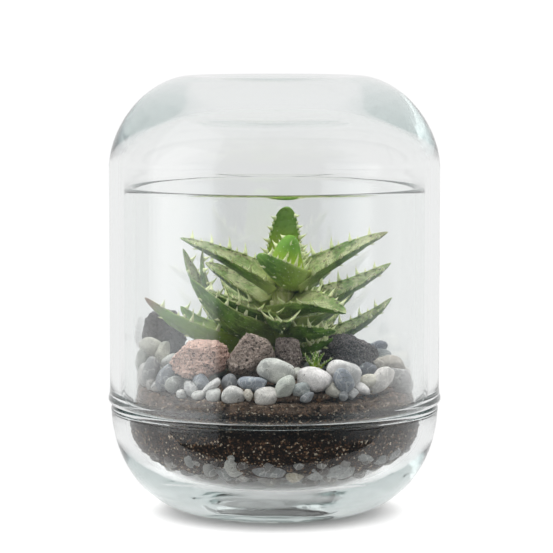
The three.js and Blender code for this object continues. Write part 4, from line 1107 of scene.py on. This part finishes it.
bed_radii = (GRAVEL["radius"], SOIL["mount_radius"], 0)
bed_bottom = [(radius, height_on(gravel_floor, radius)) for radius in bed_radii]
bed_top = [(radius, height + GRAVEL["thickness"]) for radius, height in bed_bottom]
grit_bed = turned("grit_bed", finer(bed_bottom[::-1] + bed_top, 1.5), 160)
for vertex in grit_bed.data.vertices:
    vertex.co.z += noise.noise(vertex.co * 300) * GRAVEL["rough"] * MM
grit = made_by(CRUMBS_TREE, "grit", grit_bed.data.copy(), {
    "Crumbs per square metre": 90000.0, "Smallest": 0.4 * MM, "Largest": 1.3 * MM,
    "Seed": 8, "Finish": bpy.data.materials["soil_crumb"]})
grit_bed.data.materials.append(bpy.data.materials["crumbly_soil"])
dressing = joined("dressing", [front_gravel, back_gravel, grit_bed, grit])
placed(dressing, "pebble", "pebble_dressing")


# Stem of the aloe: short, thick and a little bent, wrapped in the pale sheaths at the feet of its
# leaves. It is a soft living stalk, rooted in the soil.

STEM = dict(path=((0, 1, 48), (1.2, 0.5, 76), (4.6, 0, 99)), radius=4.8, sheaths=9, rows=96, around=40)


def through_three(path, share):
    """A point on the quadratic curve that passes through three points."""
    start, middle, end = (Vector(point) for point in path)
    control = middle * 2 - (start + end) / 2
    rest = 1 - share
    return start * rest * rest + control * 2 * rest * share + end * share * share


def swept(name, rows, values=None):
    """A closed skin over rows of points, each end drawn in to the middle of its row."""
    build = bmesh.new()
    rings = [[build.verts.new(point * MM) for point in row] for row in rows]
    count = len(rings[0])
    for lower, upper in zip(rings, rings[1:]):
        for side in range(count):
            after = (side + 1) % count
            build.faces.new((lower[side], lower[after], upper[after], upper[side]))
    for ring, row, order in ((rings[0], rows[0], -1), (rings[-1], rows[-1], 1)):
        middle = build.verts.new(sum(row, Vector()) / count * MM)
        for side in range(count):
            build.faces.new([ring[side], ring[(side + 1) % count], middle][::order])
    bmesh.ops.recalc_face_normals(build, faces=build.faces)
    mesh = mesh_of(name, build)
    mesh.shade_smooth()
    for key, rows_of_values in (values or {}).items():
        flat = [value for row in rows_of_values for value in row]
        carry(mesh, key, flat + [rows_of_values[0][0], rows_of_values[-1][0]])
    return mesh


stem_rows = []
for step in range(STEM["rows"] + 1):
    share = step / STEM["rows"]
    point = through_three(STEM["path"], share)
    ahead = (through_three(STEM["path"], share + 0.01) - point).normalized()
    side = ahead.cross(Vector((0, 1, 0))).normalized()
    front = side.cross(ahead)
    sheath = (share * STEM["sheaths"]) % 1
    stem_rows.append([
        point + (side * math.cos(turn) + front * math.sin(turn))
        * (STEM["radius"] - 1 + sheath + 0.25 * math.sin(turn * 3 + share * 20))
        for turn in (2 * math.pi * number / STEM["around"] for number in range(STEM["around"]))
    ])
stem = in_scene("stem", swept("stem", stem_rows))


def pale_sheath():
    """Pale yellow-green sheath with fine lengthwise streaks and olive-green patches."""
    finish, tree, shader, place = new_finish("pale_sheath")
    streaks = add_node(tree, "ShaderNodeMapping", None, {"Vector": place, "Scale": (900.0, 900.0, 120.0)})
    fine = noise_on(tree, streaks.outputs["Vector"], 1, 3)
    base = marked(tree, colour("#b9c07e"), colour("#d9d9a8"), fine, 0.4, 0.65)
    base = marked(tree, base, colour("#8d9448"), noise_on(tree, place, 420, 3, 0.7), 0.6, 0.72)
    tree.links.new(base, shader.inputs["Base Color"])
    shader.inputs["Roughness"].default_value = 0.5
    uneven_skin(tree, shader, fine, 0.3, 0.0003)
    return finish


stem.data.materials.append(pale_sheath())
placed(stem, "aloe_stem", "aloe_stem")


# Leaves of the aloe: thick waxy blades with a hollow upper face and a keel below, grown in whorls
# round the stem. Soft hooked teeth stand on both edges and on the keel, and white dots on the skin.

LEAF = dict(depth=0.54, rise=0.42, hollow=0.3, fuller=1.07, rows=46, across=30, to_tip=1.6, end=0.9985,
            keel=1.75)
TOOTH = dict(length=7.6, shortening=4.4, inset=0.9, sunk=0.25, first=0.2, last=0.88, stagger=0.03,
             side=0.62, up=0.74, along=0.12, astray=0.12)
# Main and small teeth take turns: the share of the length that each has, and its width in millimetres
MAIN_TOOTH, SMALL_TOOTH = dict(share=1, width=1.178), dict(share=0.45, width=0.76)
KEEL_TOOTH = dict(length=2.6, width=0.855, sunk=0.3, up=-0.8, along=0.5, after=0.04, first=0.2, last=0.85)
# Dots are sparse above, and thicker below and towards the tip, where they end
DOTS = dict(everywhere=0.05, above=0.12, below=0.5, towards_tip=0.3, end=0.97, size=0.21, spacing=1.6)
# Name, path through three points, the way the upper face looks, width, teeth on an edge, taper,
# how young the leaf is, which on the low leaves is painted light that brightens the lit ones,
# and how dry its tip is
LEAVES = [
    ("heart_back", ((4.9, 3, 100.5), (4.3, 7, 114.6), (5.5, 4, 129.2)), (0, -1, 0.1),
     16, 5, 0.3, 0.85, 0),
    ("heart_front", ((5.6, -1, 98), (5.4, -3.6, 108.2), (7.9, -2.6, 117.6)), (0, 1, 0.1),
     15.4, 4, 0.36, 1, 0),
    ("front_cup", ((8.6, -3, 99.2), (2.1, -13.5, 102.9), (-7.2, -16.5, 110.8)), (0.22, 0.7, 0.75),
     15.5, 4, 0.42, 0.35, 0),
    ("upper_left", ((0, -2, 96.8), (-17.5, -5, 107.2), (-39.6, -8, 117.1)), (0.3, -0.38, 0.87),
     16, 5, 0.63, 0, 0),
    ("upper_right", ((8, -1, 96.8), (25.6, 0, 107.6), (48.1, -3, 119.3)), (-0.35, -0.42, 0.85),
     17, 5, 0.63, 0, 0.3),
    ("upper_back_left", ((-1.5, 3, 89.9), (-16.4, 9, 97.1), (-30.1, 11, 105)), (0.25, -0.55, 0.8),
     16, 3, 0.63, 0, 0),
    ("upper_back", ((4.5, 5, 95), (9, 22, 104), (12, 40, 108)), (0, -0.3, 0.95),
     16, 3, 0.63, 0, 0),
    ("upper_back_right", ((7, 4, 91), (15.2, 17, 95.5), (24.5, 31, 98.8)), (-0.2, -0.4, 0.9),
     14.5, 3, 0.63, 0, 0),
    ("middle_right", ((6.6, 1, 86.8), (29.5, 5, 93.6), (50.6, 6, 105.3)), (-0.3, -0.42, 0.88),
     15.5, 5, 0.63, 0, 0),
    ("middle_front_right", ((4.4, -5, 87.6), (16.4, -20, 90.5), (28.6, -33, 88)), (0.05, -0.45, 0.9),
     17.5, 4, 0.55, 0, 0),
    ("middle_front", ((1.5, -5, 82.9), (2.7, -24, 82.8), (4.7, -41, 85.2)), (0, 0.15, 1),
     16, 4, 0.59, 0, 0),
    ("middle_front_left", ((0, -4, 83.6), (-14, -17, 88.2), (-28.7, -24, 97.2)), (0.2, -0.12, 0.95),
     17.5, 4, 0.59, 0, 0),
    ("middle_left", ((-3.2, -2, 78.5), (-24.5, -10, 89.2), (-29.7, -14, 113.5)), (0.85, -0.1, 0.3),
     11.5, 4, 0.63, 0, 0.2),
    ("middle_back_left", ((-1, 4, 82), (-17, 22, 90), (-24, 37, 101)), (0.3, -0.4, 0.85),
     16, 3, 0.63, 0, 0),
    ("middle_back", ((2, 5, 78.5), (8, 25, 85), (8, 46, 96)), (0, -0.4, 0.9),
     16, 3, 0.63, 0, 0),
    ("middle_back_right", ((4.5, 4, 80), (24, 20, 84), (38, 31, 95)), (-0.3, -0.35, 0.9),
     15.5, 3, 0.63, 0, 0),
    ("lower_front_left", ((-2.4, -5, 74.5), (-19.7, -22, 84.3), (-34, -28, 101.9)), (0.35, 0.75, 0.55),
     16, 4, 0.59, 0.1, 0),
    ("lower_front_right", ((2.7, -5, 75.8), (13.9, -22, 78.6), (24.4, -35, 81)), (0.05, 0.25, 1),
     15.5, 4, 0.5, 0.15, 0),
    ("lower_left", ((-3.6, 1, 71), (-25.5, -2, 86.7), (-38.7, -4, 112.3)), (0.65, -0.6, 0.45),
     16, 5, 0.63, 0, 0),
    ("lower_right", ((4.6, 2, 70), (30.4, 7, 75.8), (51.4, 8, 90.3)), (-0.35, -0.3, 0.9),
     15.5, 5, 0.63, 0, 0),
    ("low_far_left", ((-4, -2, 69.6), (-31.1, -14, 77.1), (-52.7, -18, 93)), (0.35, 0.5, 0.8),
     15, 4, 0.56, 0.45, 1),
    ("low_left", ((-4, 2, 68.4), (-28, 0, 77), (-40, -1, 87.5)), (0.4, -0.6, 0.7),
     13, 4, 0.59, 0.7, 0),
    ("low_back_left", ((-2, 5, 69.5), (-19, 24, 74), (-33, 37, 84)), (0.3, -0.35, 0.9),
     15, 3, 0.63, 0, 0),
    ("low_back_right", ((4, 5, 70.5), (19, 24, 74), (30, 39, 83)), (-0.25, -0.35, 0.9),
     15, 3, 0.63, 0, 0),
    ("low_front", ((3.6, -4.5, 69.3), (13.5, -17, 70.9), (23.8, -26, 77)), (-0.2, 0.1, 1),
     11.5, 4, 0.5, 0.3, 0),
]


def leaf_place(leaf, share):
    """Where a leaf's middle is at a share of its length, its own directions, half width and depth."""
    path, facing, width, on_edge, taper = leaf[1:6]
    share = min(max(share, 0), 1)
    point = through_three(path, share)
    ahead = (through_three(path, share + 0.002) - through_three(path, share - 0.002)).normalized()
    side = ahead.cross(Vector(facing).normalized()).normalized()
    up = side.cross(ahead).normalized()
    full = (1 - share) ** taper
    depth = width * LEAF["depth"] * full
    return point + up * LEAF["rise"] * depth, ahead, side, up, width / 2 * full * LEAF["fuller"], depth


def leaf_blade(leaf, shift):
    """The blade's skin, with what its colours and its dots need on every point."""
    rows, values = [], {"along": [], "across": [], "upper": []}
    half_count = LEAF["across"] // 2
    for step in range(LEAF["rows"] + 1):
        share = min(1 - (1 - step / LEAF["rows"]) ** LEAF["to_tip"], LEAF["end"])
        point, ahead, side, up, half, depth = leaf_place(leaf, share)
        row = []
        for key in values:
            values[key].append([])
        for number in range(LEAF["across"]):
            if number < half_count:
                across = -1 + 2 * number / half_count
                high = -LEAF["hollow"] * half * (1 - across * across)
                upper = min(1, (1 - abs(across)) * 12)
            else:
                turn = math.pi * (number - half_count) / half_count
                across = math.cos(turn)
                high = -depth * abs(math.sin(turn)) ** LEAF["keel"] - 0.02 * half
                upper = 0
            beside = point + side * across * half
            uneven = 0.5 * noise.noise(beside * 0.16 + shift) + 0.22 * noise.noise(beside * 0.55 + shift)
            row.append(beside + up * (high + uneven * min(1, half / 3)))
            values["along"][-1].append(share)
            values["across"][-1].append(across)
            values["upper"][-1].append(upper)
        rows.append(row)
    return swept("blade", rows, values)


def leaf_teeth(leaf, dice):
    """Root, aim, the way to the leaf's tip, length and width of every tooth."""
    teeth = []
    on_edge = leaf[4]
    count = on_edge * 2 - 1
    for number in range(count):
        share = TOOTH["first"] + (TOOTH["last"] - TOOTH["first"]) * number / (count - 1)
        kind = (MAIN_TOOTH, SMALL_TOOTH)[number % 2]
        long = (TOOTH["length"] - TOOTH["shortening"] * share) * dice.uniform(0.85, 1.1)
        for hand in (-1, 1):
            there = share + TOOTH["stagger"] * hand + dice.uniform(-0.012, 0.012)
            point, ahead, side, up, half, depth = leaf_place(leaf, there)
            aim = side * hand * TOOTH["side"] + up * TOOTH["up"] + ahead * TOOTH["along"]
            aim += Vector([dice.uniform(-1, 1) for part in range(3)]) * TOOTH["astray"]
            out = half - min(TOOTH["inset"], half * 0.3) * 0.55
            root = point + side * hand * out - up * TOOTH["sunk"]
            teeth.append((root, aim.normalized(), ahead, long * kind["share"], kind["width"]))
        # A keel tooth stands a little past each pair of small ones
        if kind is SMALL_TOOTH and KEEL_TOOTH["first"] < share < KEEL_TOOTH["last"]:
            point, ahead, side, up, half, depth = leaf_place(leaf, share + KEEL_TOOTH["after"])
            aim = up * KEEL_TOOTH["up"] + ahead * KEEL_TOOTH["along"]
            root = point - up * (depth - KEEL_TOOTH["sunk"])
            long = KEEL_TOOTH["length"] * dice.uniform(0.7, 1.05)
            teeth.append((root, aim.normalized(), ahead, long, KEEL_TOOTH["width"]))
    return teeth


def leaf_tree():
    """Geometry nodes: the blade with a hooked tooth on every loose point and dots over its skin."""
    tree, given = new_tree("toothed_leaf", {
        "Tooth hook": "Float", "Dot size": "Float", "Dot spacing": "Float", "Seed": "Int",
        "Finish": "Material"})
    length, width = carried(tree, "tooth_length"), carried(tree, "tooth_width")
    is_tooth = add_node(tree, "FunctionNodeCompare", dict(data_type="FLOAT", operation="GREATER_THAN"), {
        0: length, 1: 0.00001})
    parted = add_node(tree, "GeometryNodeSeparateGeometry", dict(domain="POINT"), {
        "Geometry": given["Geometry"], "Selection": is_tooth.outputs[0]})
    roots, blade = parted.outputs["Selection"], parted.outputs["Inverted"]
    # The tooth: a cone, broad at its root and hooked towards the leaf's tip
    cone = add_node(tree, "GeometryNodeMeshCone", None, {
        "Vertices": 7, "Side Segments": 5, "Radius Top": 0.04, "Radius Bottom": 1.0, "Depth": 1.0})
    place = add_node(tree, "GeometryNodeInputPosition").outputs["Position"]
    height = height_of(tree, place)
    hook = calculate(tree, "MULTIPLY", calculate(tree, "POWER", height, 2.0), given["Tooth hook"])
    slim = calculate(tree, "MULTIPLY_ADD", height, -0.35, 1.0)
    slimmed = on_ways(tree, "MULTIPLY", place, triple(tree, slim, slim, 1.0))
    shaped = add_node(tree, "GeometryNodeSetPosition", None, {
        "Geometry": cone.outputs["Mesh"], "Position": on_ways(tree, "ADD", slimmed, triple(tree, hook))})
    tall = stored(tree, shaped.outputs["Geometry"], "tooth_height", height)
    points = add_node(tree, "GeometryNodeMeshToPoints", None, {"Mesh": roots})
    upright = add_node(tree, "FunctionNodeAlignRotationToVector", dict(axis="Z"), {
        "Vector": carried(tree, "aim", "FLOAT_VECTOR")})
    forward = add_node(tree, "FunctionNodeAlignRotationToVector", dict(axis="X", pivot_axis="Z"), {
        "Rotation": upright.outputs[0], "Vector": carried(tree, "ahead", "FLOAT_VECTOR")})
    sizes = triple(tree, width, calculate(tree, "MULTIPLY", width, 0.55), length)
    teeth = laid_on(tree, points.outputs["Points"], tall, forward.outputs[0], sizes)
    teeth = stored(tree, realized(tree, teeth), "tooth", 1.0)
    # The dots: low round bumps, more of them below and near the tip
    spread = add_node(tree, "GeometryNodeDistributePointsOnFaces", dict(distribute_method="POISSON"), {
        "Mesh": blade, "Distance Min": given["Dot spacing"], "Density Max": 500000.0,
        "Density Factor": carried(tree, "dotted"), "Seed": given["Seed"]})
    dot = add_node(tree, "GeometryNodeMeshIcoSphere", None, {"Radius": 1.0, "Subdivisions": 1})
    size = calculate(tree, "MULTIPLY", drawn(tree, 0.55, 1.1, 2), given["Dot size"])
    dots = laid_on(tree, spread.outputs["Points"], dot.outputs["Mesh"], spread.outputs["Rotation"],
                   triple(tree, size, size, calculate(tree, "MULTIPLY", size, 0.6)))
    dots = stored(tree, realized(tree, dots), "dot", 1.0)
    whole = add_node(tree, "GeometryNodeJoinGeometry")
    for part in (blade, teeth, dots):
        tree.links.new(part, whole.inputs["Geometry"])
    smooth = add_node(tree, "GeometryNodeSetShadeSmooth", None, {
        "Geometry": realized(tree, whole.outputs["Geometry"])})
    finish_tree(tree, smooth.outputs["Geometry"], given["Finish"])
    return tree


def waxy_leaf():
    """Skin of the aloe: grey-green and dry above, dark green below, pale at the base, edge and teeth."""
    finish, tree, shader, place = new_finish("waxy_leaf")
    along, across, upper, youth_and_painted_light, dry, tooth_height, tooth, dot = (own(tree, name) for name in (
        "along", "across", "upper", "youth_and_painted_light", "dry", "tooth_height", "tooth", "dot"))
    cloud = noise_on(tree, place, 160, 4, 0.65)
    fine = noise_on(tree, place, 850, 5, 0.8)
    lengthwise = triple(
        tree, calculate(tree, "MULTIPLY", across, 7.0), calculate(tree, "MULTIPLY", along, 2.4), youth_and_painted_light)
    streak = noise_on(tree, lengthwise, 1.6, 4, 0.65)
    above = marked(tree, colour("#5d8038"), colour("#a3ad80"), cloud, 0.38, 0.6)
    above = marked(tree, above, colour("#b3a685"), streak, 0.5, 0.64, 0.75)
    above = marked(tree, above, colour("#48382a"), fine, 0.535, 0.585, 0.9)
    below = marked(tree, colour("#2b4711"), colour("#567f2c"), cloud, 0.38, 0.62)
    below = marked(tree, below, colour("#8cad50"), streak, 0.52, 0.64, 0.7)
    # Fine pale dots stand in rows along the lower face
    grid = triple(tree, calculate(tree, "MULTIPLY", across, 13.0), calculate(tree, "MULTIPLY", along, 60.0))
    rows = add_node(tree, "ShaderNodeTexVoronoi", None, {
        "Vector": grid, "Scale": 1.0, "Randomness": 0.45}).outputs["Distance"]
    below = marked(tree, below, colour("#b4c98a"), rows, 0.3, 0.16, 0.55)
    below = marked(tree, below, colour("#1d330d"), fine, 0.57, 0.66, 0.6)
    skin = blend(tree, upper, below, above)
    # Bright yellow-green of young leaves; on the low leaves the same brightening is painted light on those
    # that are lit
    bright = marked(tree, colour("#b3d01c"), colour("#6da02c"), along, 0.3, 0.8)
    bright = marked(tree, bright, colour("#45701a"), fine, 0.56, 0.64, 0.5)
    skin = blend(tree, youth_and_painted_light, skin, blend(tree, 0.88, skin, bright))
    base = calculate(tree, "POWER", opposite(tree, along), 5.0)
    skin = blend(tree, calculate(tree, "MULTIPLY", base, 0.85), skin, colour("#bcc67c"))
    skin = marked(tree, skin, colour("#a9b570"), calculate(tree, "ABSOLUTE", across), 0.94, 1.0, 0.6)
    skin = marked(tree, skin, colour("#7a5636"), along, 0.82, 0.97, dry)
    horn = marked(tree, colour("#dde5b4"), colour("#c9a877"), tooth_height, 0.8, 1.0)
    skin = blend(tree, tooth, skin, horn)
    skin = blend(tree, dot, skin, colour("#d3dcbf"))
    tree.links.new(skin, shader.inputs["Base Color"])
    shader.inputs["Roughness"].default_value = 0.46
    shader.inputs["Subsurface Weight"].default_value = 0.14
    shader.inputs["Subsurface Radius"].default_value = (0.6, 1.0, 0.2)
    shader.inputs["Subsurface Scale"].default_value = 0.0018
    uneven_skin(tree, shader, blend(tree, 0.5, fine, streak), 0.5, 0.0005)
    return finish


LEAF_TREE = leaf_tree()
leaf_skin = waxy_leaf()


def toothed_leaf(name, leaf, seed, dots=1.0, slim=1.0):
    """One finished leaf: blade, teeth and dots in one mesh."""
    shift = Vector((seed * 2.3, seed * 1.1, seed * 3.7))
    blade = leaf_blade(leaf, shift)
    count = len(blade.vertices)
    teeth = leaf_teeth(leaf, random.Random(seed))
    build = bmesh.new()
    build.from_mesh(blade)
    for tooth in teeth:
        build.verts.new(tooth[0] * MM)
    build.to_mesh(blade)
    build.free()
    along = [item.value for item in blade.attributes["along"].data]
    upper = [item.value for item in blade.attributes["upper"].data]
    dotted = []
    for share, top in zip(along, upper):
        thick = DOTS["everywhere"] + DOTS["below" if top < 0.5 else "above"] + DOTS["towards_tip"] * share
        dotted.append(dots * thick if share < DOTS["end"] else 0)
    none = [0.0] * count
    youth_and_painted_light, dry = leaf[6:]
    carry(blade, "dotted", dotted)
    carry(blade, "youth_and_painted_light", [youth_and_painted_light] * len(along))
    carry(blade, "dry", [dry] * len(along))
    carry(blade, "tooth_length", none + [tooth[3] * MM * slim for tooth in teeth])
    carry(blade, "tooth_width", none + [tooth[4] * MM * slim for tooth in teeth])
    carry(blade, "aim", [Vector()] * count + [tooth[1] for tooth in teeth], "FLOAT_VECTOR")
    carry(blade, "ahead", [Vector()] * count + [tooth[2] for tooth in teeth], "FLOAT_VECTOR")
    return made_by(LEAF_TREE, name, blade, {
        "Tooth hook": 1.1, "Dot size": DOTS["size"] * MM * slim, "Dot spacing": DOTS["spacing"] * MM,
        "Seed": seed, "Finish": leaf_skin})


for number, leaf in enumerate(LEAVES):
    piece = toothed_leaf("leaf_" + leaf[0], leaf, number + 1)
    placed(piece, "aloe_heart" if number < 2 else "aloe_leaf", "aloe_leaf_" + leaf[0])


# Young offset of the aloe: a bud with a tuft of narrow pale leaves, of the same soft flesh as the
# plant. It has come up from the roots beside the dark rocks.

OFFSET = dict(at=(16.4, -31, 60.4), reach=10.5, width=2.6, leaves=9, leans=(1.0, 0.55, 0.2))
BUD = dict(height=5, radius=2.6, rows=12, around=24)

tuft = []
for number in range(OFFSET["leaves"]):
    angle = number / OFFSET["leaves"] * 2 * math.pi
    lean = OFFSET["leans"][number % 3]
    root = Vector(OFFSET["at"]) + Vector((0, 0, 1.5))
    out = Vector((math.cos(angle), math.sin(angle), 0))
    tip = root + (out * lean + Vector((0, 0, 1))).normalized() * OFFSET["reach"]
    middle = (root + tip) / 2 - out * 0.6 + Vector((0, 0, 0.6))
    narrow = ("tuft", (root, middle, tip), -out + Vector((0, 0, 0.5)), OFFSET["width"], 4, 0.6, 0.9, 0.2)
    tuft.append(toothed_leaf("tuft_leaf", narrow, number + 60, 0, 0.3))
bud_rows = []
for step in range(BUD["rows"] + 1):
    share = step / BUD["rows"]
    radius = BUD["radius"] * math.sin(math.pi * (0.12 + 0.85 * share))
    middle = Vector(OFFSET["at"]) + Vector((0, 0, BUD["height"] * (2 * share - 1)))
    bud_rows.append([middle + Vector((math.cos(turn), math.sin(turn), 0)) * radius
                     for turn in (2 * math.pi * place / BUD["around"] for place in range(BUD["around"]))])
bud = in_scene("bud", swept("bud", bud_rows))
bud.data.materials.append(bpy.data.materials["pale_sheath"])
offset = joined("offset", tuft + [bud])
placed(offset, "aloe_leaf", "aloe_offset")
